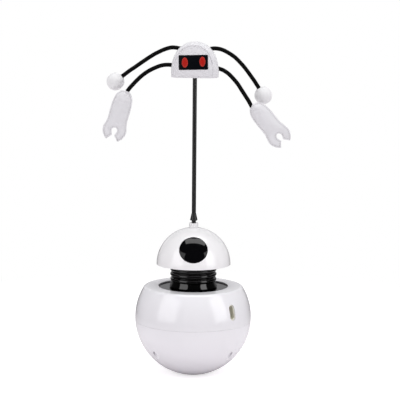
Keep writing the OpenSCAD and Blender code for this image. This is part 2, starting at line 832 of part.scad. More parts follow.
module dome_shell() {
  color(white) difference() {
    union() {
      rotate_extrude() translate([0, dome_z]) intersection() {
        difference() {
          circle(dome_r);
          circle(dome_in_r);
        }
        square(far);
      }
      intersection() {
        translate([0, 0, dome_z]) sphere(dome_r - dome_t / 2);
        union() {
          at_each(dome_columns) translate([0, 0, base_top]) cylinder(r = dome_column_r, h = dome_r);
          for (s = [-1, 1]) eye_frame() translate([s * switch_post[0], switch_post[1], switch_z + board_t])
            cylinder(r = switch_post_r, h = dome_r);
        }
      }
    }
    eye_frame() {
      cylinder(r = eye_r + fit_gap, h = far);
      translate([0, 0, switch_z + board_t]) cylinder(r = eye_seat_r, h = eye_seat - switch_z - board_t);
      for (s = [-1, 1]) translate([s * switch_post[0], switch_post[1], switch_z])
        cylinder(d = small_screw_d + 2 * run_gap, h = board_t + screw_reach);
    }
    translate([0, 0, dome_z]) cylinder(d = socket_d + fit_gap, h = far);
    translate([0, 0, base_top]) cylinder(r = socket_seat_r, h = socket_seat - base_top);
    at_each(dome_columns) translate([0, 0, base_top - cut])
      cylinder(d = small_screw_d + 2 * run_gap, h = screw_reach + cut);
  }
}

module dome_base() {
  plate_r = sqrt(pow(dome_in_r, 2) - pow(base_sink + base_t, 2)) - fit_gap;
  color(white) difference() {
    union() {
      translate([0, 0, base_z]) cylinder(r = plate_r, h = base_t);
      translate([0, 0, base_z - spigot_h]) tube(spigot_d / 2, spigot_d / 2 - deck_t, spigot_h + base_t / 2);
    }
    cylinder(r = wire_r, h = far);
    at_each(dome_columns) {
      cylinder(d = small_screw_d + fit_gap, h = far);
      cylinder(d = small_head_d + 2 * fit_gap, h = base_z + small_head_h);
    }
  }
}

module dome_screws() {
  color(steel) at_each(dome_columns) translate([0, 0, base_z + small_head_h])
    small_screw(base_t - small_head_h + screw_reach - screw_end);
}

// A hollow black cap with a flange behind the dome wall and a stem to the switch
module eye_button() {
  color(black) eye_frame() {
    difference() {
      intersection() {
        translate([0, 0, eye_back]) cylinder(r = eye_r, h = dome_r);
        sphere(dome_r + eye_proud);
      }
      intersection() {
        translate([0, 0, eye_back - cut]) cylinder(r = eye_r - eye_wall, h = dome_r);
        sphere(dome_r + eye_proud - eye_wall);
      }
    }
    intersection() {
      translate([0, 0, eye_back - eye_flange_t]) cylinder(r = eye_flange_r, h = eye_flange_t);
      translate([-far / 2, eye_flange_low, 0]) cube([far, far, far]);
    }
    translate([0, 0, plunger_top]) cylinder(r = stem_r, h = dome_r - eye_wall - plunger_top);
  }
}

module switch_plunger() {
  color("firebrick") eye_frame() translate([0, 0, switch_z + board_t + switch_h - 1])
    cylinder(r = plunger_r, h = plunger_top - switch_z - board_t - switch_h + 1);
}

module switch_body() {
  color(black) eye_frame() translate([0, 0, switch_z + board_t]) difference() {
    translate([-switch_w / 2, -switch_w / 2, 0]) cube([switch_w, switch_w, switch_h]);
    translate([0, 0, switch_h - 1 - eye_travel - play]) cylinder(r = plunger_r + run_gap, h = switch_h);
  }
}

module switch_board() {
  half_w = switch_post[0] + switch_post_r + 0.3;
  color(board_green) eye_frame() difference() {
    translate([-half_w, switch_low, switch_z]) cube([2 * half_w, switch_high - switch_low, board_t]);
    for (s = [-1, 1]) translate([s * switch_post[0], switch_post[1], 0])
      cylinder(d = small_screw_d + fit_gap, h = far);
  }
}

module switch_screws() {
  color(steel) eye_frame() for (s = [-1, 1]) translate([s * switch_post[0], switch_post[1], switch_z])
    small_screw(board_t + screw_reach - screw_end);
}

module wand_socket() {
  floor_z = socket_top - plug_depth - socket_floor;
  color(white) difference() {
    union() {
      translate([0, 0, floor_z]) cylinder(d = socket_d, h = socket_top - floor_z);
      translate([0, 0, socket_seat - socket_flange_t]) cylinder(r = socket_flange_r, h = socket_flange_t);
    }
    translate([0, 0, floor_z + socket_floor]) cylinder(d = plug_d + 2 * run_gap, h = far);
  }
}

// A plug below, and a cone that narrows to the rod above
module wand_ferrule() {
  color(black) rotate_extrude() difference() {
    union() {
      translate([0, socket_top - plug_depth + play / 2]) square([plug_d / 2, plug_depth + plug_show]);
      polygon([
        [0, ferrule_z], [ferrule_d / 2 - 0.3, ferrule_z], [ferrule_d / 2, ferrule_z + 0.4],
        [rod_d / 2 + 0.3, ferrule_z + ferrule_h], [0, ferrule_z + ferrule_h]
      ]);
    }
    translate([0, ferrule_z + rod_seat]) square([rod_d / 2 + run_gap / 2, far]);
  }
}

module wand_rod() {
  low = ferrule_z + rod_seat;
  color(black) translate([0, 0, low]) cylinder(d = rod_d, h = toy_z + rod_grip - low);
}

module toy_frame() {
  translate([0, 0, toy_z]) children();
}

// Point a degrees round the D outline of the head, at a share s of its full size
function head_point(a, s) =
  let (
    power = 2 / (sin(a) >= 0 ? crown_power : hem_power),
    rise = sin(a) >= 0 ? toy_h - head_belt : head_belt,
    x = toy_w / 2 * signed_power(cos(a), power),
    z = head_belt + rise * signed_power(sin(a), power)
  )
  [s * x, head_middle + s * (z - head_middle)];

function head_ring(b) =
  let (s = pow(cos(b), 2 / swell_power), y = toy_t / 2 * signed_power(sin(b), 2 / swell_power))
  [for (k = [0:outline_steps - 1]) let (p = head_point(360 * k / outline_steps, s)) [p[0], y, p[1]]];

module toy_head() {
  tilt = 180 / swell_steps;
  rings = [for (i = [0:swell_steps - 2]) each head_ring((i + 1) * tilt - 90)];
  color(felt) toy_frame() difference() {
    rotate([0, 0, toy_yaw]) polyhedron(rings, skin_faces(swell_steps - 1, outline_steps));
    translate([0, 0, -cut]) cylinder(d = rod_d + 2 * fit_gap, h = rod_grip + cut + fit_gap);
    for (route = routes) along(route[0], route[2]) translate([0, 0, -fit_gap])
      cylinder(d = cord_d + 2 * fit_gap, h = 4 * cord_d);
  }
}

module visor_frame() {
  toy_frame() rotate([0, 0, toy_yaw]) translate([0, -toy_t / 2 - visor_t, visor_rise]) children();
}

module toy_visor() {
  color(black) visor_frame() translate([-visor_w / 2, 0, -visor_h / 2]) cube([visor_w, visor_t, visor_h]);
}

module toy_eyes() {
  steps = 24;
  oval = [for (k = [0:steps - 1]) [patch_w / 2 * cos(360 * k / steps), patch_h / 2 * sin(360 * k / steps)]];
  color("red") visor_frame() for (s = [-1, 1]) translate([s * patch_pitch / 2, 0, 0])
    rotate([90, 0, 0]) linear_extrude(visor_t) polygon(oval);
}

module arm_cord(route) {
  color(black) toy_frame() swept_tube(route, cord_d / 2, cord_sides, [0, 1, 0]);
}

// A felt ball with the blind hole that the end of its cord is glued into
module felt_ball(at, route) {
  last = len(route) - 1;
  color(felt) toy_frame() difference() {
    translate(at) sphere(d = felt_ball_d);
    along(route[last] + unit(route[last] - route[last - 1]) * fit_gap, route[last - 1])
      cylinder(d = cord_d + 2 * fit_gap, h = felt_ball_d);
  }
}

// A soft pad: a ball flattened to the thickness of the claw
module pad(x, z, r) {
  translate([x, 0, -z]) scale([1, claw_t / palm_w, 1]) sphere(r, $fn = pad_fn);
}

module claw(at, lean) {
  color(felt) toy_frame() translate(at) rotate([0, lean, 0]) {
    middle = notch_z / 2;
    hull() {
      pad(0, palm_r, palm_r);
      pad(0, middle, palm_r);
    }
    hull() {
      pad(0, middle, palm_r);
      pad(0, notch_z - palm_r, palm_r);
    }
    for (s = [-1, 1], i = [0:len(jaw_pads) - 2]) hull()
      for (p = [jaw_pads[i], jaw_pads[i + 1]]) pad(s * p[0], p[1], p[2]);
  }
}

lower_shell();
upper_shell();
shell_screws();
deck_plate();
deck_screws();
ballast();
chassis();
chassis_screws();
rotor_pin();
thrust_washer();
drive_gear();
eccentric_weight();
motor_can();
motor_end_cap();
motor_shaft();
motor_pinion();
battery_cell();
battery_clip();
main_board();
board_parts();
board_screws();
charge_board();
charge_port();
port_bezel();
neck_bellows();
neck_spring();
dome_shell();
dome_base();
dome_screws();
eye_button();
switch_plunger();
switch_body();
switch_board();
switch_screws();
wand_socket();
wand_ferrule();
wand_rod();
toy_head();
toy_visor();
toy_eyes();
arm_cord(route_upper_left);  // cord_upper_left
arm_cord(route_upper_right);  // cord_upper_right
arm_cord(route_lower_left);  // cord_lower_left
arm_cord(route_lower_right);  // cord_lower_right
felt_ball(felt_ball_left_at, route_upper_left);  // felt_ball_left
felt_ball(felt_ball_right_at, route_upper_right);  // felt_ball_right
claw(claw_left_at, claw_left_lean);  // claw_left
claw(claw_right_at, claw_right_lean);  // claw_right
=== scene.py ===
# %% [markdown]
# # A wobbling cat ball with a teaser wand
# The CAD part gives every hard piece its place. This script keeps that frame and adds the looks: the
# camera of the photograph, soft studio light, finishes made of nodes, springy cords, and the stuffed
# pieces, which are sewn flat and then blown up by a cloth simulation.

# %% Load the frame
import json
import math

import bmesh
import bpy
import numpy as np
from mathutils import Matrix, Vector
from mathutils.bvhtree import BVHTree
from mathutils.geometry import delaunay_2d_cdt


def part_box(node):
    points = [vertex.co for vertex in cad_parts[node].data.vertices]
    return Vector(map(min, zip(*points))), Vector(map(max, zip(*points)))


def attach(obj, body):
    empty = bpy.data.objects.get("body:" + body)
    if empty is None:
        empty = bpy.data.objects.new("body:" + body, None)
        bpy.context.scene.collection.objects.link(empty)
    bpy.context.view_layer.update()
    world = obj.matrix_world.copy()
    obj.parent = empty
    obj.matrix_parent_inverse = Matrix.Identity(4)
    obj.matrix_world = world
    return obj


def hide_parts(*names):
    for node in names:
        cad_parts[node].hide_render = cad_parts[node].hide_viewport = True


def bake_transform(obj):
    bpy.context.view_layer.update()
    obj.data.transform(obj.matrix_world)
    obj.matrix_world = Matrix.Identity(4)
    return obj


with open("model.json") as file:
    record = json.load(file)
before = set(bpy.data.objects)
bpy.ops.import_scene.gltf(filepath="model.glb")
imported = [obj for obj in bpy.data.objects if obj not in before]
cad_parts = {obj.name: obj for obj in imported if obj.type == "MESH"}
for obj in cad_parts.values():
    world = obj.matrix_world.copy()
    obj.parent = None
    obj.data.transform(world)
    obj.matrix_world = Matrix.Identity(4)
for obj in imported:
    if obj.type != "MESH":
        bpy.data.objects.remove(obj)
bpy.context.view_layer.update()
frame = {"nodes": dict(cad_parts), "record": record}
nodes = frame["nodes"]
scene = bpy.context.scene
MM = 0.001
TURN = 2 * math.pi

# %% [markdown]
# ## Camera
# The outline of the ball, the tilt of the dome's edge and the ellipse of the deck fix where the photograph
# was taken from: one metre away, a little above the toy, looking down by about 7.6 degrees. A camera with a
# target would stand upright, but the picture leans by half a degree, so this one gets its own axes.

# %% Camera
pitch, roll = math.radians(7.59), math.radians(0.465)
camera_place = (0.00446, -1.0, 0.2631)
sensor_mm, focal_mm = 36, 123.4
side = Vector((1, 0, 0))
up = Vector((0, math.sin(pitch), math.cos(pitch)))
right_axis = math.cos(roll) * side + math.sin(roll) * up
up_axis = math.cos(roll) * up - math.sin(roll) * side
camera_axes = Matrix((right_axis, up_axis, right_axis.cross(up_axis))).transposed().to_4x4()
camera_data = bpy.data.cameras.new("camera")
camera_data.sensor_width = sensor_mm
camera_data.lens = focal_mm
camera = bpy.data.objects.new("camera", camera_data)
camera.matrix_world = Matrix.Translation(camera_place) @ camera_axes
scene.collection.objects.link(camera)
scene.camera = camera
scene.view_settings.view_transform = "Standard"
print("camera at", tuple(round(v, 3) for v in camera.matrix_world.translation))

# %% [markdown]
# ## Helpers for meshes
# A piece is made from points and faces, gets its normals turned outward, and is shaded smooth except where
# two faces meet at a clear angle. Operators could do this too, but they depend on what is selected, so plain
# data calls are used. Every object stays at the origin, with its place in its mesh.

# %% Mesh helpers
ALL_SMOOTH = 180


def face_outward(mesh, merge=0.0):
    """Turns the normals outward, after merging points that are closer than the given distance."""
    work = bmesh.new()
    work.from_mesh(mesh)
    if merge:
        bmesh.ops.remove_doubles(work, verts=work.verts, dist=merge)
    bmesh.ops.recalc_face_normals(work, faces=work.faces)
    work.to_mesh(mesh)
    work.free()


def make_object(name, points, faces, sharp=35):
    """A mesh object at the origin, smooth except at edges above the sharp angle, in degrees."""
    mesh = bpy.data.meshes.new(name)
    mesh.from_pydata([tuple(p) for p in points], [], faces)
    face_outward(mesh)
    mesh.shade_smooth()
    mesh.set_sharp_from_angle(angle=math.radians(sharp))
    obj = bpy.data.objects.new(name, mesh)
    scene.collection.objects.link(obj)
    return obj


def bake(obj, name):
    """The evaluated mesh of an object as a plain mesh object; the first object goes."""
    bpy.context.view_layer.update()
    graph = bpy.context.evaluated_depsgraph_get()
    mesh = bpy.data.meshes.new_from_object(obj.evaluated_get(graph))
    mesh.name = name
    out = bpy.data.objects.new(name, mesh)
    scene.collection.objects.link(out)
    bpy.data.objects.remove(obj)
    return out


def length_of(line):
    """The length of a line of points."""
    return sum((b - a).length for a, b in zip(line, line[1:]))


# %% [markdown]
# ## Finishes
# The toy has glossy white shells, black gloss and rubber, felt, thread and a few plain inner plastics. Each
# could be painted from pictures, but a few numbers on one shader describe them well and need no files. The
# dome takes a lighter copy of the shell's white, which paints in the light it catches from above, and the
# black pieces differ in how sharply and how much they mirror.

# %% Finishes
coat_roughness = 0.05


def plain(name, colour, roughness, coat=0.0, metallic=0.0, sheen=0.0, specular=0.5):
    """A material of one colour."""
    material = bpy.data.materials.new(name)
    material.use_nodes = True
    shader = material.node_tree.nodes["Principled BSDF"]
    shader.inputs["Base Color"].default_value = (*colour, 1)
    shader.inputs["Roughness"].default_value = roughness
    shader.inputs["Metallic"].default_value = metallic
    shader.inputs["Coat Weight"].default_value = coat
    shader.inputs["Coat Roughness"].default_value = coat_roughness
    shader.inputs["Sheen Weight"].default_value = sheen
    shader.inputs["Specular IOR Level"].default_value = specular
    return material


looks = {
    "white_shell": ((0.80, 0.795, 0.818), 0.15, {"coat": 0.35}),
    # painted light: the dome's copy of the shell white is lighter, standing in for the light it gets from
    # above
    "painted_lit_white_shell": ((0.855, 0.85, 0.856), 0.15, {"coat": 0.35}),
    "black_gloss": ((0.0015, 0.0015, 0.002), 0.06, {"specular": 0.3}),
    "black_rubber": ((0.0006, 0.0006, 0.0006), 0.06, {"specular": 0.6}),
    "black_deck": ((0.001, 0.001, 0.0013), 0.08, {"specular": 0.16}),
    "black_matte": ((0.004, 0.004, 0.004), 0.42, {"specular": 0.68}),
    "black_cord": ((0.002, 0.002, 0.002), 0.6, {"specular": 0.1}),
    "white_felt": ((0.69, 0.687, 0.706), 0.92, {"sheen": 0.2, "specular": 0.2}),
    "white_wool": ((0.76, 0.76, 0.765), 0.95, {"sheen": 0.3, "specular": 0.15}),
    "grey_thread": ((0.5, 0.495, 0.5), 0.6, {"specular": 0.3}),
    "black_felt": ((0.0025, 0.0032, 0.005), 0.4, {"specular": 0.06}),
    "red_felt": ((0.4, 0.008, 0.004), 0.55, {"specular": 0.12}),
    "port_plastic": ((0.7, 0.685, 0.58), 0.5, {"specular": 0.3}),
    "grey_plastic": ((0.05, 0.05, 0.055), 0.5, {}),
    "natural_plastic": ((0.72, 0.69, 0.6), 0.4, {}),
    "steel": ((0.5, 0.51, 0.53), 0.3, {"metallic": 1.0}),
    "iron": ((0.12, 0.12, 0.125), 0.6, {"metallic": 0.8}),
    "board": ((0.02, 0.13, 0.06), 0.35, {}),
    "cell_wrap": ((0.03, 0.09, 0.35), 0.3, {"coat": 0.2}),
}
finish = {name: plain(name, colour, rough, **more) for name, (colour, rough, more) in looks.items()}
print("finishes:", len(finish))

# %% [markdown]
# Felt, cord and cast iron have a fine uneven surface, far too fine to model. A bump from a few sizes of noise
# in object coordinates gives it, so that it stays with the piece. The red patches are a little paler at their
# cut border: the rings of a patch carry a share that runs from 0 in the middle to 1 at the border, and a
# colour ramp reads it.

# %% Felt, cord and patch surfaces
def calc(tree, operation, *values, clamp=False):
    """A math node whose inputs are numbers or other nodes' outputs. Returns its output."""
    node = tree.nodes.new("ShaderNodeMath")
    node.operation, node.use_clamp = operation, clamp
    for socket, value in zip(node.inputs, values):
        if isinstance(value, (int, float)):
            socket.default_value = value
        else:
            tree.links.new(value, socket)
    return node.outputs[0]


def add_bump(material, sizes, strength, depth, detail=3):
    """Bump from noise of the given sizes, in metres, each finer than the last."""
    tree = material.node_tree
    place = tree.nodes.new("ShaderNodeTexCoord")
    bump = tree.nodes.new("ShaderNodeBump")
    bump.inputs["Strength"].default_value = strength
    bump.inputs["Distance"].default_value = depth
    total = None
    for size in sizes:
        noise = tree.nodes.new("ShaderNodeTexNoise")
        noise.inputs["Scale"].default_value = 1 / size
        noise.inputs["Detail"].default_value = detail
        tree.links.new(place.outputs["Object"], noise.inputs["Vector"])
        total = noise.outputs["Fac"] if total is None else calc(tree, "ADD", total, noise.outputs["Fac"])
    tree.links.new(total, bump.inputs["Height"])
    tree.links.new(bump.outputs["Normal"], tree.nodes["Principled BSDF"].inputs["Normal"])


def pale_border(material, border, start=0.6):
    """The colour runs to that of the border over the outer part of a patch."""
    tree = material.node_tree
    colour = tree.nodes["Principled BSDF"].inputs["Base Color"]
    share = tree.nodes.new("ShaderNodeAttribute")
    share.attribute_name = "edge"
    ramp = tree.nodes.new("ShaderNodeValToRGB")
    ramp.color_ramp.elements[0].position = start
    ramp.color_ramp.elements[0].color = colour.default_value
    ramp.color_ramp.elements[1].color = (*border, 1)
    tree.links.new(share.outputs["Fac"], ramp.inputs["Fac"])
    tree.links.new(ramp.outputs["Color"], colour)


surfaces = {
    "white_felt": ([0.0012, 0.0005, 0.0002], 0.22, 0.00025),
    "white_wool": ([0.0016, 0.0006, 0.0002], 0.2, 0.00025),
    "black_cord": ([0.0004], 0.3, 0.0001),
    "black_felt": ([0.0005], 0.15, 0.0001),
    "red_felt": ([0.0006], 0.3, 0.0001),
    "iron": ([0.0008], 0.2, 0.0001),
}
for name, (sizes, strength, depth) in surfaces.items():
    add_bump(finish[name], sizes, strength, depth)
pale_border(finish["red_felt"], (0.4, 0.035, 0.025))
print("surfaces with bump:", len(surfaces))

# %% [markdown]
# The solids take the finish that their slot names. A few take a nearer one: the dome, its base and its socket
# take a lighter copy of the shell's white as painted light from above, the deck mirrors less than the eye,
# and the port's mouth has its frame's colour.

# %% Finishes of the solids
look_of = {s["node"]: s["material_slot"] for s in frame["record"]["subparts"]}
# painted light: the dome, its base and the socket take the lighter copy of the shell white
look_of.update(dome_shell="painted_lit_white_shell", dome_base="painted_lit_white_shell", wand_socket="painted_lit_white_shell")
look_of.update(charge_port="port_plastic", deck_plate="black_deck")
for name, obj in nodes.items():
    obj.data.materials.clear()
    obj.data.materials.append(finish[look_of[name]])


def dress(obj, body, slot, *stands_for, look=None):
    """Finish, body and the CAD nodes that a visual piece stands for."""
    obj.data.materials.clear()
    obj.data.materials.append(finish[look or slot])
    if body:
        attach(obj, body)
    if stands_for:
        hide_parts(*stands_for)


print("dressed solids:", len(nodes))

# %% [markdown]
# ## Arm cords
# Each arm is one springy cord that leaves the stuffed head, rises a little and arches down. A curve with a
# bevel could draw it, but the bevel is lost on export. So a path of listed points gives the line, a
# Catmull-Rom curve smooths it, and a Geometry Nodes tree sweeps a circle along it. The tree's radius and
# finish are named inputs, so the same tree also serves the seams of the head and the spring of the neck.

# %% Helpers for node trees
def new_tree(name, source, inputs, result):
    """A Geometry Nodes tree. Returns it, the identifiers of its inputs, and the sockets of its two ends."""
    tree = bpy.data.node_groups.new(name, "GeometryNodeTree")
    tree.interface.new_socket(source, in_out="INPUT", socket_type="NodeSocketGeometry")
    ids = {}
    for key, kind in inputs.items():
        ids[key] = tree.interface.new_socket(key, in_out="INPUT", socket_type="NodeSocket" + kind).identifier
    tree.interface.new_socket(result, in_out="OUTPUT", socket_type="NodeSocketGeometry")
    return tree, ids, tree.nodes.new("NodeGroupInput").outputs, tree.nodes.new("NodeGroupOutput").inputs


def wire(tree, *links):
    """Links pairs of an output and an input."""
    for a, b in links:
        tree.links.new(a, b)


def end_tree(tree, shape, paint, result):
    """Real geometry and the finish, as the last steps of a tree."""
    whole = tree.nodes.new("GeometryNodeRealizeInstances")
    coat = tree.nodes.new("GeometryNodeSetMaterial")
    wire(tree, (shape, whole.inputs["Geometry"]), (whole.outputs["Geometry"], coat.inputs["Geometry"]),
         (paint, coat.inputs["Material"]), (coat.outputs["Geometry"], result))


def run_tree(obj, name, tree, ids, values):
    """Sets the tree's inputs by their identifiers, runs it and keeps the result as a plain mesh."""
    modifier = obj.modifiers.new(tree.name, "NODES")
    modifier.node_group = tree
    for key, value in values.items():
        modifier[ids[key]] = value
    return bake(obj, name)


# %% Tube tree
tube_sides = 20
tube_tree, tube_ids, given, made = new_tree(
    "tube_along_curve", "Curve", {"Radius": "Float", "Finish": "Material"}, "Tube")
ring = tube_tree.nodes.new("GeometryNodeCurvePrimitiveCircle")
ring.inputs["Resolution"].default_value = tube_sides
sweep = tube_tree.nodes.new("GeometryNodeCurveToMesh")
sweep.inputs["Fill Caps"].default_value = True
smooth = tube_tree.nodes.new("GeometryNodeSetShadeSmooth")
wire(tube_tree, (given["Curve"], sweep.inputs["Curve"]), (given["Radius"], ring.inputs["Radius"]),
     (ring.outputs["Curve"], sweep.inputs["Profile Curve"]),
     (sweep.outputs["Mesh"], smooth.inputs["Geometry"]))
end_tree(tube_tree, smooth.outputs["Geometry"], given["Finish"], made["Tube"])
print("tube tree:", len(tube_tree.nodes), "nodes")


# %% Lines for the trees
def smooth_line(points, parts=5, closed=False):
    """A Catmull-Rom line through the points."""
    p, out, n = [Vector(q) for q in points], [], len(points)
    at = (lambda i: p[i % n]) if closed else (lambda i: p[min(max(i, 0), n - 1)])
    for i in range(n if closed else n - 1):
        a, b, c, d = at(i - 1), at(i), at(i + 1), at(i + 2)
        for k in range(parts):
            t = k / parts
            square, cube = 2 * a - 5 * b + 4 * c - d, 3 * b - a - 3 * c + d
            out.append(0.5 * (2 * b + (c - a) * t + square * t**2 + cube * t**3))
    return out if closed else out + [p[-1]]


def line_object(name, line, closed):
    """A curve object through the points, for a tree to work on."""
    curve = bpy.data.curves.new(name + "_line", "CURVE")
    curve.dimensions = "3D"
    spline = curve.splines.new("POLY")
    spline.points.add(len(line) - 1)
    spline.points.foreach_set("co", [v for p in line for v in (*p, 1)])
    spline.use_cyclic_u = closed
    obj = bpy.data.objects.new(name + "_line", curve)
    scene.collection.objects.link(obj)
    return obj


def sweep_tube(name, line, radius, slot, closed=False):
    """A round tube along a line."""
    values = {"Radius": radius, "Finish": finish[slot]}
    return run_tree(line_object(name, line, closed), name, tube_tree, tube_ids, values)


# %% Cord routes, in millimetres from the middle of the head's hem
toy_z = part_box("toy_head")[0].z
cord_d = 3.0 * MM
routes = {
    "upper_left": [
        (-8, 0, 20.5), (-10.9, 0, 21.3), (-13.9, 0, 21.9), (-17, 0.5, 22), (-20.1, 1, 21.3),
        (-23.1, 1.5, 20.2), (-26.1, 2.5, 18.8), (-29.6, 3.5, 17), (-33.1, 4, 14.8), (-36.7, 5, 12.4),
        (-40.2, 6, 10), (-43.7, 6.5, 7.5), (-47.3, 7, 5.1), (-51, 7.5, 2.3), (-54.6, 8, -0.4)],
    "upper_right": [
        (8, 0, 20.8), (11, 0, 21.2), (14, 0, 21.6), (17.2, 0.5, 21.3), (20.4, 1, 20.4),
        (23.6, 1.5, 18.8), (26.9, 2.5, 16.8), (30, 3.5, 14.4), (33, 4, 11.4), (35.9, 5, 8.2),
        (38.6, 6, 4.8), (41.1, 6.5, 1.4), (43.5, 7, -1.9), (45.8, 7.5, -5.4), (48.1, 8, -8.9)],
    "lower_left": [
        (-13, 0, 8.8), (-16, 0, 9.2), (-19, 0, 9.5), (-22, -0.5, 9.4), (-25, -0.5, 8.8),
        (-28, -1, 7.7), (-31.1, -1.5, 6.3), (-34, -2, 4.7), (-36.8, -2, 2.8), (-39.5, -2.5, 0.6),
        (-41.9, -2.5, -1.7), (-44.2, -3, -4.1), (-46.5, -3, -6.6), (-48.5, -3.5, -9.1), (-50.1, -3.5, -11.4)],
    "lower_right": [
        (12.6, 0, 8.3), (15.4, 0, 7.6), (18.1, 0, 6.8), (20.4, -0.5, 6), (22.6, -0.5, 4.7),
        (24.9, -1, 3), (27, -1.5, 0.9), (29.2, -2, -1.5), (31.4, -2, -4.2), (33.3, -2.5, -7.1),
        (35.2, -2.5, -10), (37.1, -3, -12.9), (39, -3, -15.8), (40.7, -3.5, -18.8), (42.1, -3.5, -21.4)],
}
cord_lines = {}
for key, route in routes.items():
    cord_lines[key] = smooth_line([Vector(p) * MM + Vector((0, 0, toy_z)) for p in route])
    print("cord", key, "length", round(length_of(cord_lines[key]), 4))

# %% [markdown]
# A cord bends all along when its arm bobs, about a hinge that lies just inside the head. Here each cord is
# swept once as a fixed tube along its line, and the solid cord that it stands for is hidden.

# %% Cords
cords = {}
for key, line in cord_lines.items():
    obj = sweep_tube(f"arm_cord_{key}", line, cord_d / 2, "black_cord")
    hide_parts(f"cord_{key}")
    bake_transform(obj)
    cords[key] = obj
print("cords:", len(cords))

# %% [markdown]
# ## Stuffed pieces
# A stuffed piece starts as two flat layers of felt, cut to its outline. It could be sculpted, but felt under
# tension has its own way of bulging, so a cloth simulation finds the shape. The strip outside the stitch
# line is held flat, as a sewn edge is, and pressure between the layers swells the rest. The cloth solver
# works best on things about a metre across, so a piece is sewn a hundred times its size.

# %% Cutting a pattern
def inset_line(line, distance):
    """A closed 2-D line moved inward, found from the normals of its neighbours."""
    n = len(line)
    area = sum(line[i].x * line[(i + 1) % n].y - line[(i + 1) % n].x * line[i].y for i in range(n))
    out = []
    for i in range(n):
        t = (line[(i + 1) % n] - line[i - 1]).normalized()
        out.append(line[i] + Vector((-t.y, t.x)) * distance * (1 if area > 0 else -1))
    return out


def fill_outline(outline, stitch, pitch, row_share=0.866, clear_share=0.6):
    """Triangles of a flat piece: points in staggered rows, kept clear of the stitch line."""
    n, m = len(outline), len(stitch)
    xs, ys = [p.x for p in outline], [p.y for p in outline]
    inside = BVHTree.FromPolygons([(p.x, p.y, 0) for p in stitch], [list(range(m))])
    points = list(outline) + list(stitch)
    row, y = 0, min(ys)
    while y < max(ys):
        x = min(xs) + (pitch / 2 if row % 2 else 0)
        while x < max(xs):
            hit = inside.ray_cast(Vector((x, y, 1)), Vector((0, 0, -1)))
            if hit[0] is not None and min((Vector((x, y)) - s).length for s in stitch) > pitch * clear_share:
                points.append(Vector((x, y)))
            x += pitch
        row, y = row + 1, y + pitch * row_share
    edges = [(i, (i + 1) % n) for i in range(n)] + [(n + i, n + (i + 1) % m) for i in range(m)]
    verts, _, faces, _, _, _ = delaunay_2d_cdt(points, edges, [list(range(n))], 1, 1e-6)
    return verts, faces


# %% Stuffing
sewing_scale = 100.0
sewing_unit = sewing_scale * MM


def blow_up(obj, held, pressure, frames=40):
    """Cloth under pressure, with the held points fixed. Returns the settled points in millimetres."""
    group = obj.vertex_groups.new(name="held")
    group.add(held, 1.0, "REPLACE")
    cloth = obj.modifiers.new("felt", "CLOTH")
    felt = cloth.settings
    felt.vertex_group_mass = "held"
    felt.quality = 6
    felt.mass = 0.3
    felt.tension_stiffness = felt.compression_stiffness = 30
    felt.shear_stiffness = 10
    felt.bending_stiffness = 2
    felt.tension_damping = felt.compression_damping = felt.shear_damping = 15
    felt.air_damping = 4
    felt.use_pressure = True
    felt.uniform_pressure_force = pressure
    felt.effector_weights.gravity = 0
    cloth.collision_settings.use_collision = False
    cloth.point_cache.frame_start = 1
    cloth.point_cache.frame_end = frames
    for f in range(1, frames + 1):
        scene.frame_set(f)
    graph = bpy.context.evaluated_depsgraph_get()
    settled = obj.evaluated_get(graph).to_mesh()
    points = [v.co / sewing_unit for v in settled.vertices]
    obj.modifiers.remove(cloth)
    scene.frame_set(1)
    return points


def soften(obj, name, place):
    """Puts a sewn piece in its place and rounds its facets."""
    obj.data.transform(place)
    modifier = obj.modifiers.new("smooth", "SUBSURF")
    modifier.levels = modifier.render_levels = 1
    out = bake(obj, name)
    out.data.shade_smooth()
    return out


# %% [markdown]
# ### Stitches
# A seam shows as a row of short threads along the border. They could be drawn in the material, but they stand
# a little proud of the felt, so Geometry Nodes lay them: the seam line is divided into points one stitch
# apart, and a stretched sphere is put on each, turned along the line.

# %% Stitch tree
stitch_tree, stitch_ids, given, made = new_tree(
    "stitches_along_curve", "Curve", {"Pitch": "Float", "Size": "Vector", "Finish": "Material"}, "Stitches")
spots = stitch_tree.nodes.new("GeometryNodeCurveToPoints")
spots.mode = "LENGTH"
thread = stitch_tree.nodes.new("GeometryNodeMeshUVSphere")
thread.inputs["Segments"].default_value, thread.inputs["Rings"].default_value = 8, 6
thread.inputs["Radius"].default_value = 0.5  # one unit across, which Size then scales
smooth = stitch_tree.nodes.new("GeometryNodeSetShadeSmooth")
row = stitch_tree.nodes.new("GeometryNodeInstanceOnPoints")
wire(stitch_tree, (given["Curve"], spots.inputs["Curve"]), (given["Pitch"], spots.inputs["Length"]),
     (thread.outputs["Mesh"], smooth.inputs["Geometry"]),
     (smooth.outputs["Geometry"], row.inputs["Instance"]),
     (spots.outputs["Points"], row.inputs["Points"]), (spots.outputs["Rotation"], row.inputs["Rotation"]),
     (given["Size"], row.inputs["Scale"]))
end_tree(stitch_tree, row.outputs["Instances"], given["Finish"], made["Stitches"])


def stitch_row(name, line, pitch=1.5 * MM, thick=0.34 * MM, length=1.1 * MM):
    """A closed row of stitches along a line."""
    values = {"Pitch": pitch, "Size": (thick, thick, length), "Finish": finish["grey_thread"]}
    return run_tree(line_object(name, line, closed=True), name, stitch_tree, stitch_ids, values)


print("stitch tree:", len(stitch_tree.nodes), "nodes")

# %% [markdown]
# ### Claws
# The lower arms end in flat stuffed claws: a rounded palm and two hooked jaws round a notch. Both are cut
# from one pattern, of which only the right half is written down, because the claw is the same on both sides.

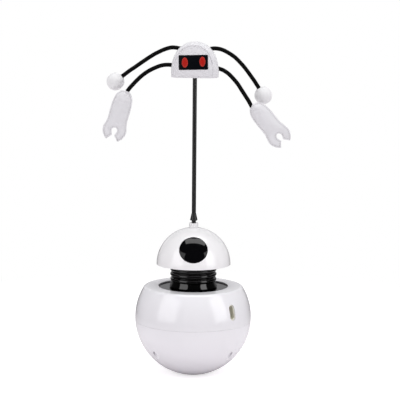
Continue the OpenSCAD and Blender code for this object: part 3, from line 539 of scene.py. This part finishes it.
# %% Claw pattern
claw_seam_in, claw_pitch = 1.1, 0.85
half = [(0, 0), (2.4, 0.5), (4.5, 2.1), (6.1, 4.6), (6.95, 7.6), (7.35, 12), (7.4, 17), (7.3, 21.5),
        (7.6, 24.5), (8.5, 28), (8.8, 30.4), (8.3, 33), (7.0, 35.4), (5.4, 37.2), (4.2, 38.0), (3.1, 36.7),
        (2.0, 35.4), (0.9, 34.2), (1.4, 32.7), (1.9, 31.2), (1.75, 29.7), (0.95, 28.8), (0, 28.5)]
both_sides = [(x, -s, 0) for x, s in half] + [(-x, -s, 0) for x, s in half[-2:0:-1]]
claw_outline = [p.to_2d() for p in smooth_line(both_sides, 3, closed=True)]
claw_stitch = inset_line(claw_outline, claw_seam_in)[::2]
flat_points, flat_faces = fill_outline(claw_outline, claw_stitch, claw_pitch)
print("claw pattern:", len(flat_points), "points")

# %% [markdown]
# The cord runs into the claw between the two layers, so the layers start further apart along its line. After
# the simulation the swell is scaled to the thickness that the claw has in the photograph.

# %% Sew and stuff a claw
claw_t, claw_edge, least_swell = 7.6, 0.35, 1e-3
pocket_lift, pocket_w = 1.35, 1.9


def away_from(line, p):
    """How far a flat point is from a line of flat points."""
    best = 1e9
    for a, b in zip(line, line[1:]):
        t = min(max((p - a).dot(b - a) / (b - a).length_squared, 0), 1)
        best = min(best, (p - a - (b - a) * t).length)
    return best


def sew_claw(name, cord):
    """Two layers with a held border. Returns the stuffed claw and its two stitch lines."""
    n, rim = len(flat_points), len(claw_outline)
    lift = [claw_edge + pocket_lift * math.exp(-(away_from(cord, p) / pocket_w) ** 2) for p in flat_points]
    points = [(p.x, way * d, p.y) for way in (-1, 1) for p, d in zip(flat_points, lift)]
    faces = [tuple(f) for f in flat_faces] + [tuple(n + i for i in reversed(f)) for f in flat_faces]
    faces += [(i, (i + 1) % rim, n + (i + 1) % rim, n + i) for i in range(rim)]
    obj = make_object(name, [Vector(p) * sewing_unit for p in points], faces, ALL_SMOOTH)
    strip = rim + len(claw_stitch)
    points = blow_up(obj, list(range(strip)) + list(range(n, n + strip)), pressure=4.0)
    swell = max(abs(p[1]) for p in points)
    share = (claw_t / 2 - claw_edge) / max(swell - claw_edge, least_swell)
    for i, (v, p) in enumerate(zip(obj.data.vertices, points)):
        low = lift[i % n]
        depth = low + max(abs(p[1]) - low, 0) * share
        v.co = Vector((p[0], math.copysign(depth, p[1]), p[2])) * MM
    print(name, "swelled to", round(swell, 2), "mm")
    seams = {"front": [obj.data.vertices[i].co.copy() for i in range(rim, strip)],
             "back": [obj.data.vertices[n + i].co.copy() for i in range(rim, strip)]}
    return obj, seams


# %% Claws
cord_points, pocket_end = 16, Vector((0, -8))
claw_places = {"left": ((-49.9, -3.5, -8.9), 16), "right": ((42.1, -3.5, -18.2), -40)}
thread_lift = {"front": Vector((0, -0.12, 0)) * MM, "back": Vector((0, 0.12, 0)) * MM}
for key, (apex, lean) in claw_places.items():
    body = f"arm_lower_{key}"
    turn = Matrix.Rotation(math.radians(lean), 4, "Y")
    place = Matrix.Translation(Vector(apex) * MM + Vector((0, 0, toy_z))) @ turn
    back = place.inverted()
    cord = [(back @ p / MM).xz for p in cord_lines[f"lower_{key}"][-cord_points:]] + [pocket_end]
    sewn, claw_seams = sew_claw(f"sewn_claw_{key}", cord)
    claw = soften(sewn, f"stuffed_claw_{key}", place)
    dress(claw, body, "white_felt", f"claw_{key}")
    for face, seam in claw_seams.items():
        stitches = stitch_row(f"claw_stitches_{key}_{face}", [place @ (p + thread_lift[face]) for p in seam])
        dress(stitches, body, "white_felt", look="grey_thread")
    print(claw.name, len(claw.data.polygons), "faces")

# %% [markdown]
# ### Felt balls
# The upper cords end in balls of rolled felt. A plain sphere would look machined, so the points of a fine
# sphere are pushed in and out a little by smooth waves, which differ for the two balls.

# %% Felt balls
def felt_ball(name, node, seed, stretch=2.2, rest=0.985, unevenness=0.005):
    """A sphere in the place of a node, uneven by a sum of three waves."""
    low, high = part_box(node)
    centre, radius = (low + high) / 2, (high.z - low.z) / 2
    work = bmesh.new()
    bmesh.ops.create_icosphere(work, subdivisions=5, radius=radius)
    for v in work.verts:
        d = v.co.normalized() * stretch + Vector((seed, seed * 0.7, 0))
        wave = math.sin(2.1 * d.x + 1.3 * d.y) + math.sin(1.7 * d.y - 2.3 * d.z)
        wave += math.sin(2.6 * d.z + 0.9 * d.x)
        v.co = centre + v.co * (rest + unevenness * wave)
    mesh = bpy.data.meshes.new(name)
    work.to_mesh(mesh)
    work.free()
    mesh.shade_smooth()
    obj = bpy.data.objects.new(name, mesh)
    scene.collection.objects.link(obj)
    return obj


for key, seed in (("left", 1.0), ("right", 4.0)):
    ball = felt_ball(f"rolled_felt_{key}", f"felt_ball_{key}", seed)
    dress(ball, f"arm_upper_{key}", "white_felt", f"felt_ball_{key}", look="white_wool")

# %% [markdown]
# ### Head of the toy
# The head is a boxed cushion: a D-shaped front, a gusset round it and the same D at the back. Two layers
# alone would swell like a pillow, so the pattern has the gusset too. The two seams and the hem are held where
# the pattern puts them, and pressure swells the front, the gusset and the back.

# %% Head pattern
toy_w, toy_t, toy_h, toy_yaw = 34.8, 21, 26.5, -7
belt, crown_power, hem_power, hem_share = 2, 2.3, 6, 0.6
middle = Vector((0, 9))
seam_share, seam_depth, panel_seam_in, panel_pitch = 0.82, 8.3, 0.9, 0.95
gusset_share, gusset_power, rows = 0.955, 0.7, 16


def d_outline(steps):
    """The D of the head: a round crown over a nearly square hem."""
    out = []
    for k in range(steps):
        c, s = math.cos(TURN * k / steps), math.sin(TURN * k / steps)
        power, rise = (2 / crown_power, toy_h - belt) if s >= 0 else (2 / hem_power, belt)
        x = math.copysign(abs(c) ** power, c) * toy_w / 2
        out.append((x, belt + math.copysign(abs(s) ** power, s) * rise, 0))
    return [p.to_2d() for p in smooth_line(out, 2, closed=True)]


head_outline = d_outline(steps=44)
around_head = len(head_outline)
seam_line = [(p - middle) * seam_share + middle for p in head_outline]
panel_stitch = inset_line(seam_line, panel_seam_in)[::2]
panel_points, panel_faces = fill_outline(seam_line, panel_stitch, panel_pitch)
print("head panels:", len(panel_points), "points each")


# %% Sew and stuff the head
def sew_head(name):
    """Rings over the gusset from seam to seam, then the two panels, under pressure."""
    n = around_head
    points, faces = [], []
    for i in range(rows + 1):
        t = i / rows
        share = seam_share + (gusset_share - seam_share) * math.sin(math.pi * t) ** gusset_power
        ring = [(p - middle) * share + middle for p in head_outline]
        points += [Vector((q.x, seam_depth * (2 * t - 1), q.y)) for q in ring]
    for i in range(rows):
        a, b = i * n, (i + 1) * n
        faces += [(a + k, a + (k + 1) % n, b + (k + 1) % n, b + k) for k in range(n)]
    for depth, start in ((-seam_depth, 0), (seam_depth, rows * n)):
        base = len(points)
        points += [Vector((p.x, depth, p.y)) for p in panel_points[n:]]
        faces += [tuple(start + i if i < n else base + i - n for i in f) for f in panel_faces]
    obj = make_object(name, [p * sewing_unit for p in points], faces, ALL_SMOOTH)
    low_steps = [k for k in range(n) if head_outline[k].y < hem_share * belt]
    hem = [i * n + k for i in range(rows + 1) for k in low_steps]
    seams = list(range(n)) + list(range(rows * n, (rows + 1) * n))
    points = blow_up(obj, seams + hem, pressure=3.0)
    low, high = np.min(points, axis=0), np.max(points, axis=0)
    print(name, "swelled to", np.round(high - low, 1), "mm")
    share = np.array((toy_w, toy_t, toy_h)) / (high - low)
    for v, p in zip(obj.data.vertices, points):
        v.co = Vector((p[0] * share[0], p[1] * share[1], (p[2] - low[2]) * share[2])) * MM
    return obj


yaw = Matrix.Rotation(math.radians(toy_yaw), 4, "Z")
toy_place = Matrix.Translation((0, 0, toy_z)) @ yaw
sewn_head = sew_head("stuffed_head_sewn")
corners = [toy_place @ v.co for v in sewn_head.data.vertices]
seams = {"front": corners[:around_head], "back": corners[rows * around_head:(rows + 1) * around_head]}
head = soften(sewn_head, "stuffed_head", toy_place)
dress(head, "wand", "white_felt", "toy_head")

# %% [markdown]
# ### Seams, visor and eye patches
# A thin welt covers each seam of the head. The visor and the red patches lie on the swollen front panel. A
# shrinkwrap could lay them there, but it bunches up at the border, so each is a set of rings dropped onto the
# panel along its depth and given a thickness. The outermost ring lies a little lower, which rounds the edge.

# %% Head welts
welt_r = 0.45 * MM
for key, line in seams.items():
    welt = sweep_tube(f"head_welt_{key}", line, welt_r, "white_felt", closed=True)
    dress(welt, "wand", "white_felt")
    print(welt.name, "length", round(length_of(line), 4))

# %% Patch helper
face_lean, face_z, edge_drop, ray_start = math.radians(1.6), 11.65, 0.15, -0.03


def lean_face(x, z):
    """The visor is sewn on a little askew."""
    c, s = math.cos(face_lean), math.sin(face_lean)
    return x * c - (z - face_z) * s, face_z + x * s + (z - face_z) * c


def tree_of(obj):
    """A search tree of the faces of an object, to drop points onto."""
    mesh = obj.data
    return BVHTree.FromPolygons([v.co for v in mesh.vertices], [tuple(p.vertices) for p in mesh.polygons])


def face_patch(name, under, middle, edge_at, rings, around, lift, thickness):
    """Rings from the middle to the edge, dropped onto the piece under them, and the same behind."""
    into = yaw.to_3x3() @ Vector((0, 1, 0))
    front, faces = [], []
    for i in range(rings + 1):
        for k in range(around):
            dx, dz = edge_at(TURN * k / around)
            x, z = lean_face(middle[0] + dx * i / rings, middle[1] + dz * i / rings)
            hit = under.ray_cast(toy_place @ Vector((x * MM, ray_start, z * MM)), into)[0]
            front.append(hit - into * (lift - (edge_drop if i == rings else 0)) * MM)
    count = len(front)
    for i in range(rings):
        a, b = i * around, (i + 1) * around
        for k in range(around):
            j = (k + 1) % around
            faces += [(a + k, a + j, b + j, b + k)]
            faces += [(count + b + k, count + b + j, count + a + j, count + a + k)]
    rim = [rings * around + k for k in range(around)]
    faces += [(a, b, count + b, count + a) for a, b in zip(rim, rim[1:] + rim[:1])]
    obj = make_object(name, front + [p + into * thickness * MM for p in front], faces, 60)
    edge = obj.data.attributes.new("edge", "FLOAT", "POINT")
    edge.data.foreach_set("value", [i % count // around / rings for i in range(2 * count)])
    face_outward(obj.data, merge=1e-6)
    return obj


# %% Visor and eye patches
def visor_edge(a, half_w=10.6, half_h=5.3, power=0.08):
    """A rectangle with slightly rounded corners, as a superellipse of high power."""
    c, s = math.cos(a), math.sin(a)
    return math.copysign(abs(c) ** power, c) * half_w, math.copysign(abs(s) ** power, s) * half_h


def oval_edge(half_w, half_h):
    """The edge of an oval, as a function of the angle."""
    return lambda a: (math.cos(a) * half_w, math.sin(a) * half_h)


visor = face_patch("face_visor", tree_of(head), (0, face_z), visor_edge,
                   rings=14, around=160, lift=0.45, thickness=0.7)
dress(visor, "wand", "black_felt", "toy_visor")
patches = {"left": ((-6.0, 11.7), oval_edge(2.25, 3.6)), "right": ((6.75, 12.1), oval_edge(2.1, 3.55))}
visor_tree = tree_of(visor)
for key, (spot, edge_at) in patches.items():
    patch = face_patch(f"eye_patch_{key}", visor_tree, spot, edge_at,
                       rings=6, around=48, lift=0.4, thickness=0.6)
    dress(patch, "wand", "red_felt", "toy_eyes")
    print(patch.name, len(patch.data.polygons), "faces")

# %% [markdown]
# ### Cord ends
# Each cord is a stiff, springy one, glued into its ball or claw, which moves along with it. The part's record
# can't say that, and the loop below only reads each cord's line.

# %% Cord ends
for key, cord in cords.items():
    line = cord_lines[key]
print("cords with their ends:", len(cords))


# %% [markdown]
# ## Rod
# The rod is a straight covered wire that carries the toy. A cylinder would do, but it is turned from a
# profile, as the eye is below, so that one helper makes both.

# %% Rod
def lathe(name, profile, steps=160):
    """Turns a profile of (r, z) points, which starts and ends on the axis, about Z."""
    points, faces, n = [], [], len(profile)
    for k in range(steps):
        c, s = math.cos(TURN * k / steps), math.sin(TURN * k / steps)
        points += [Vector((r * c, r * s, z)) for r, z in profile]
    for k in range(steps):
        a, b = k * n, (k + 1) % steps * n
        faces += [(a + i, b + i, b + i + 1, a + i + 1) for i in range(n - 1)]
    obj = make_object(name, points, faces)
    face_outward(obj.data, merge=1e-7)
    return obj


rod_low, rod_high = (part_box("wand_rod")[i].z for i in (0, 1))
rod_r = 1.55 * MM
rod_profile = [(0, rod_low), (rod_r, rod_low), (rod_r, rod_high), (0, rod_high)]
rod = lathe("covered_rod", rod_profile, steps=48)
dress(rod, "wand", "black_matte", "wand_rod")
print("rod length", round(rod_high - rod_low, 4))

# %% [markdown]
# ## Neck
# The bellows is a rubber sleeve with a flared foot and round ribs at an even pitch. It could be turned like
# the rod, but its outline follows a rule, so a Geometry Nodes tree makes it from a flat grid and takes its
# sizes as inputs. Each row of the grid becomes a ring, whose radius is the outermost of the groove, the foot
# and the nearest rib, with soft inner corners and a rounded lower edge. Rows 0 to Levels climb the outside,
# the next two are the top and the foot of the bore, and the last one is the first ring again.

# %% Sleeve tree
sleeve_sizes = ("Low", "High", "Deck", "Foot Height", "Foot Radius", "Groove Radius", "Bore Radius",
                "Rib Pitch", "Rib Start", "Rib Centre", "Rib Radius", "Softness", "Edge Radius")
sleeve_kinds = {key: "Float" for key in sleeve_sizes} | {"Ribs": "Int", "Levels": "Int", "Around": "Int"}
sleeve, sleeve_ids, given, made = new_tree(
    "ribbed_sleeve", "Unused", sleeve_kinds | {"Finish": "Material"}, "Sleeve")


def math_of(operation, *values, clamp=False):
    """A math node of the sleeve's tree."""
    return calc(sleeve, operation, *values, clamp=clamp)


grid = sleeve.nodes.new("GeometryNodeMeshGrid")
spot = sleeve.nodes.new("ShaderNodeSeparateXYZ")
wire(sleeve, (math_of("ADD", given["Around"], 1), grid.inputs["Vertices X"]),
     (math_of("ADD", given["Levels"], 4), grid.inputs["Vertices Y"]),
     (sleeve.nodes.new("GeometryNodeInputPosition").outputs[0], spot.inputs["Vector"]))
angle = math_of("MULTIPLY", math_of("ADD", spot.outputs["X"], 0.5), TURN)
row = math_of("MULTIPLY", math_of("ADD", spot.outputs["Y"], 0.5), math_of("ADD", given["Levels"], 3))
row = math_of("ROUND", row)
outside = math_of("LESS_THAN", row, math_of("ADD", given["Levels"], 1.5))
rise = math_of("MULTIPLY", outside, math_of("MINIMUM", math_of("DIVIDE", row, given["Levels"]), 1))
level = math_of("MULTIPLY_ADD", rise, math_of("SUBTRACT", given["High"], given["Low"]), given["Low"])
print("sleeve grid:", len(sleeve.nodes), "nodes")

# %% Sleeve radius
height = math_of("SUBTRACT", level, given["Deck"])
above_foot = math_of("SUBTRACT", height, given["Foot Height"])
foot_straight = 0.2
slope = math_of("DIVIDE", math_of("MULTIPLY_ADD", given["Foot Height"], -foot_straight, height),
                math_of("MULTIPLY", given["Foot Height"], 1 - foot_straight), clamp=True)
flare = math_of("SUBTRACT", given["Groove Radius"], given["Foot Radius"])
under = math_of("MAXIMUM", math_of("SUBTRACT", given["Edge Radius"], height), 0)
edge_span = math_of("SUBTRACT", math_of("POWER", given["Edge Radius"], 2), math_of("MULTIPLY", under, under))
edge_cut = math_of("SUBTRACT", given["Edge Radius"], math_of("SQRT", math_of("MAXIMUM", edge_span, 0)))
foot = math_of("SUBTRACT", math_of("MULTIPLY_ADD", flare, slope, given["Foot Radius"]), edge_cut)
foot = math_of("MULTIPLY", foot, math_of("LESS_THAN", above_foot, 0))
index = math_of("SUBTRACT", math_of("DIVIDE", above_foot, given["Rib Pitch"]), given["Rib Start"])
index = math_of("ROUND", index)
index = math_of("MINIMUM", math_of("MAXIMUM", index, 0), math_of("SUBTRACT", given["Ribs"], 1))
rib_height = math_of("MULTIPLY", given["Rib Pitch"], math_of("ADD", index, given["Rib Start"]))
off = math_of("SUBTRACT", above_foot, rib_height)
rest = math_of("SUBTRACT", math_of("POWER", given["Rib Radius"], 2), math_of("MULTIPLY", off, off))
rib = math_of("ADD", given["Rib Centre"], math_of("SQRT", math_of("MAXIMUM", rest, 0)))
rib = math_of("MULTIPLY", rib, math_of("GREATER_THAN", rest, 0))
wall = math_of("SMOOTH_MAX", given["Groove Radius"], foot, given["Softness"])
wall = math_of("SMOOTH_MAX", wall, rib, given["Softness"])
past_top = math_of("GREATER_THAN", row, math_of("ADD", given["Levels"], 0.5))
in_bore = math_of("MULTIPLY", past_top, math_of("LESS_THAN", row, math_of("ADD", given["Levels"], 2.5)))
radius = math_of("MULTIPLY_ADD", in_bore, math_of("SUBTRACT", given["Bore Radius"], wall), wall)
print("sleeve radius:", len(sleeve.nodes), "nodes")

# %% Sleeve mesh
ring_spot = sleeve.nodes.new("ShaderNodeCombineXYZ")
bend = sleeve.nodes.new("GeometryNodeSetPosition")
join = sleeve.nodes.new("GeometryNodeMergeByDistance")
join.inputs["Distance"].default_value = 1e-6
smooth = sleeve.nodes.new("GeometryNodeSetShadeSmooth")
wire(sleeve, (math_of("MULTIPLY", radius, math_of("COSINE", angle)), ring_spot.inputs["X"]),
     (math_of("MULTIPLY", radius, math_of("SINE", angle)), ring_spot.inputs["Y"]),
     (level, ring_spot.inputs["Z"]),
     (grid.outputs["Mesh"], bend.inputs["Geometry"]), (ring_spot.outputs["Vector"], bend.inputs["Position"]),
     (bend.outputs["Geometry"], join.inputs["Geometry"]),
     (join.outputs["Geometry"], smooth.inputs["Geometry"]))
end_tree(sleeve, smooth.outputs["Geometry"], given["Finish"], made["Sleeve"])
print("sleeve tree:", len(sleeve.nodes), "nodes")

# %% [markdown]
# The bellows bends about two axes that cross in its middle, and a piece can bend across one joint only. So it
# is made as two sleeves that meet at that level, and the spring inside is cut at the same level.

# %% Neck bellows and spring
deck_z, base_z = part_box("neck_bellows")[0].z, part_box("neck_bellows")[1].z
bend_z, neck_sharp = 0.0739, math.radians(50)
spring_r, spring_gap = 0.8 * MM, 1.0 * MM
foot_h, rib_share, ribs_and_rest = 4.6 * MM, 0.42, 3.57
rib_pitch = (base_z - deck_z - foot_h) / ribs_and_rest
rib_r = rib_pitch * rib_share
neck_sizes = {
    "Deck": deck_z, "Foot Height": foot_h, "Foot Radius": 17.7 * MM, "Groove Radius": 16.1 * MM,
    "Bore Radius": 14.7 * MM, "Rib Pitch": rib_pitch, "Rib Start": 0.43, "Rib Centre": 17.1 * MM - rib_r,
    "Rib Radius": rib_r, "Softness": 0.5 * MM, "Edge Radius": 1.4 * MM, "Ribs": 3, "Levels": 90,
    "Around": 144, "Finish": finish["black_rubber"],
}


def neck_half(name, low, high):
    """The bellows between two levels, run on an empty mesh."""
    blank = bpy.data.objects.new(name + "_blank", bpy.data.meshes.new(name + "_blank"))
    scene.collection.objects.link(blank)
    obj = run_tree(blank, name, sleeve, sleeve_ids, neck_sizes | {"Low": low, "High": high})
    face_outward(obj.data)
    obj.data.set_sharp_from_angle(angle=neck_sharp)
    return obj


def spring_half(name, first, last, turns=5, coil_r=9 * MM, steps=120):
    """The spring between two shares of its height."""
    low, high = deck_z + spring_gap, base_z - spring_gap
    line = []
    for i in range(steps + 1):
        t = first + (last - first) * i / steps
        a = TURN * turns * t
        line.append(Vector((coil_r * math.cos(a), coil_r * math.sin(a), low + (high - low) * t)))
    return sweep_tube(name, line, spring_r, "steel")


# %% Neck halves
middle_share = (bend_z - deck_z - spring_gap) / (base_z - deck_z - 2 * spring_gap)
halves = {"lower": ("ball", "neck", deck_z, bend_z, 0, middle_share),
          "upper": ("neck", "head", bend_z, base_z, middle_share, 1)}
for key, (below, above, low, high, first, last) in halves.items():
    for part, slot, node in ((neck_half(f"bellows_{key}", low, high), "black_rubber", "neck_bellows"),
                             (spring_half(f"spring_{key}", first, last), "steel", "neck_spring")):
        dress(part, None, slot, node)
        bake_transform(part)
        print(part.name, len(part.data.polygons), "faces")

# %% [markdown]
# ## Eye
# The eye is a lens that follows the dome. The solid could be shown as it is, but its edge is sharp, so a
# turned piece stands for it. Its axis leaves the middle of the dome at 33 degrees above the level, and its
# profile has a rounded rim, a straight side and the flange that holds it in.

# %% Eye
dome_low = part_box("dome_shell")[0].z
eye_rise, lens_r, eye_r, rim_r = 33, 27.6, 10.2, 0.5
flange_r, flange_top, flange_low, flange_cut, flange_lip = 11.2, 22.64, 21.44, -6.5, 0.2
stem_r, stem_low = 2, 18
lens_steps, rim_steps = 40, 8
tilt = math.asin((eye_r - rim_r) / (lens_r - rim_r))
profile = [(r, math.sqrt(lens_r**2 - r**2)) for r in np.linspace(0, eye_r - rim_r, lens_steps)[:-1]]
profile.append((lens_r * math.sin(tilt), lens_r * math.cos(tilt)))
rim_z = math.cos(tilt) * (lens_r - rim_r)
for k in range(1, rim_steps + 1):
    a = tilt + (math.pi / 2 - tilt) * k / rim_steps
    profile.append((eye_r - rim_r + rim_r * math.sin(a), rim_z + rim_r * math.cos(a)))
profile += [(eye_r, flange_top), (flange_r, flange_top), (flange_r, flange_low), (stem_r, flange_low),
            (stem_r, stem_low), (0, stem_low)]
eye = lathe("eye_lens", [(r * MM, h * MM) for r, h in profile])
for v in eye.data.vertices:
    if v.co.xy.length > (flange_r - flange_lip) * MM:
        v.co.y = max(v.co.y, flange_cut * MM)
eye_turn = Matrix.Rotation(math.radians(90 - eye_rise), 4, "X")
eye.data.transform(Matrix.Translation((0, 0, dome_low)) @ eye_turn)
dress(eye, "eye", "black_gloss", "eye_button")
print("eye lens:", len(eye.data.polygons), "faces")

# %% [markdown]
# ## Light and ground
# The photograph was taken in a light tent: tall soft boxes left and right of the camera, a wide one above, a
# pale floor and a pale surround. A sky texture would light the toy too, but the boxes are mirrored in the
# ball, so area lights of their shape are used.

# %% Light
aim_point = Vector((0, 0, 0.1))


def soft_box(name, azimuth, distance, centre_z, width, height, power):
    """An area light that looks at the toy from an azimuth measured from the camera side."""
    data = bpy.data.lights.new(name, "AREA")
    data.shape = "RECTANGLE"
    data.size, data.size_y = width, height
    data.energy = power
    obj = bpy.data.objects.new(name, data)
    a = math.radians(azimuth)
    obj.location = (distance * math.sin(a), -distance * math.cos(a), centre_z)
    aim = aim_point - obj.location
    obj.rotation_euler = aim.to_track_quat("-Z", "Y").to_euler()
    scene.collection.objects.link(obj)
    print(name, "at", tuple(round(v, 2) for v in obj.location))


soft_box("left_box", -53, 1.0, 0.42, 0.75, 0.85, 3.9)
soft_box("right_box", 57, 1.0, 0.42, 0.55, 0.85, 3.9)
soft_box("top_box", 90, 0.15, 1.9, 0.95, 1.7, 21.5)

# %% [markdown]
# The surround is white to the camera and gives an even fill. To mirroring pieces it is dark at the sides and
# bright behind and above the toy, as the open front and the lit back of a tent are, so that black gloss stays
# black and the flat top of the ball shines.

# %% Surround
def add_node(tree, kind, **values):
    """A shader node with its input values set by name."""
    node = tree.nodes.new(kind)
    for key, value in values.items():
        node.inputs[key.replace("_", " ")].default_value = value
    return node


tent = (0.98, 0.97, 1.0, 1)
dim_side = 0.04
world = bpy.data.worlds.new("surround")
world.use_nodes = True
scene.world = world
tree = world.node_tree
tree.nodes.clear()
path = add_node(tree, "ShaderNodeLightPath")
seen = add_node(tree, "ShaderNodeBackground", Color=(1, 1, 1, 1), Strength=1.0)
fill = add_node(tree, "ShaderNodeBackground", Color=tent, Strength=0.4)
mirrored = add_node(tree, "ShaderNodeBackground", Color=tent)
way = add_node(tree, "ShaderNodeTexCoord")
split = add_node(tree, "ShaderNodeSeparateXYZ")
behind = add_node(tree, "ShaderNodeMapRange", From_Min=0.6, From_Max=0.9)
above = add_node(tree, "ShaderNodeMapRange", From_Min=0.0, From_Max=0.18, To_Min=0.3, To_Max=0.62)
backdrop = calc(tree, "MAXIMUM", calc(tree, "MULTIPLY", behind.outputs[0], above.outputs[0]), dim_side)
gloss = add_node(tree, "ShaderNodeMixShader")
both = add_node(tree, "ShaderNodeMixShader")
out = add_node(tree, "ShaderNodeOutputWorld")
wire(tree, (way.outputs["Generated"], split.inputs["Vector"]), (split.outputs["Y"], behind.inputs["Value"]),
     (split.outputs["Z"], above.inputs["Value"]), (backdrop, mirrored.inputs["Strength"]),
     (path.outputs["Is Glossy Ray"], gloss.inputs[0]), (fill.outputs[0], gloss.inputs[1]),
     (mirrored.outputs[0], gloss.inputs[2]), (path.outputs["Is Camera Ray"], both.inputs[0]),
     (gloss.outputs[0], both.inputs[1]), (seen.outputs[0], both.inputs[2]),
     (both.outputs[0], out.inputs["Surface"]))
print("surround:", len(tree.nodes), "nodes")

# %% [markdown]
# The floor is a pale table that keeps the soft shadow of the ball and turns white to the camera further out.
# A white plane that glows would lose the shadow, so a little glow is added to a plain diffuse floor near the
# toy. Mirroring pieces lose sight of the table from 10 cm on, as they would beyond its edge.

# %% Floor
floor_material = bpy.data.materials.new("floor")
floor_material.use_nodes = True
tree = floor_material.node_tree
tree.nodes.clear()
path = add_node(tree, "ShaderNodeLightPath")
place = add_node(tree, "ShaderNodeTexCoord")
reach = tree.nodes.new("ShaderNodeVectorMath")
reach.operation = "LENGTH"
fade = add_node(tree, "ShaderNodeMapRange", From_Min=0.1, From_Max=0.4)
table_end = add_node(tree, "ShaderNodeMapRange", From_Min=0.1, From_Max=0.3)
lost = calc(tree, "MULTIPLY", table_end.outputs[0], path.outputs["Is Glossy Ray"])
diffuse = add_node(tree, "ShaderNodeBsdfDiffuse", Color=(0.85, 0.815, 0.842, 1))
glow = add_node(tree, "ShaderNodeEmission", Strength=0.6)
white = add_node(tree, "ShaderNodeEmission", Strength=1.0)
dark = add_node(tree, "ShaderNodeEmission", Strength=0.03)
lit = add_node(tree, "ShaderNodeAddShader")
seen = add_node(tree, "ShaderNodeMixShader")
table = add_node(tree, "ShaderNodeMixShader")
both = add_node(tree, "ShaderNodeMixShader")
out = add_node(tree, "ShaderNodeOutputMaterial")
wire(tree, (place.outputs["Object"], reach.inputs[0]), (reach.outputs["Value"], fade.inputs["Value"]),
     (reach.outputs["Value"], table_end.inputs["Value"]), (diffuse.outputs[0], lit.inputs[0]),
     (glow.outputs[0], lit.inputs[1]), (fade.outputs[0], seen.inputs[0]), (lit.outputs[0], seen.inputs[1]),
     (white.outputs[0], seen.inputs[2]), (lost, table.inputs[0]), (diffuse.outputs[0], table.inputs[1]),
     (dark.outputs[0], table.inputs[2]), (path.outputs["Is Camera Ray"], both.inputs[0]),
     (table.outputs[0], both.inputs[1]), (seen.outputs[0], both.inputs[2]),
     (both.outputs[0], out.inputs["Surface"]))
half_w = 3
floor_corners = [(-half_w, -half_w, 0), (half_w, -half_w, 0), (half_w, half_w, 0), (-half_w, half_w, 0)]
floor = make_object("floor", floor_corners, [(0, 1, 2, 3)])
floor.data.materials.append(floor_material)
print("floor:", len(tree.nodes), "nodes")
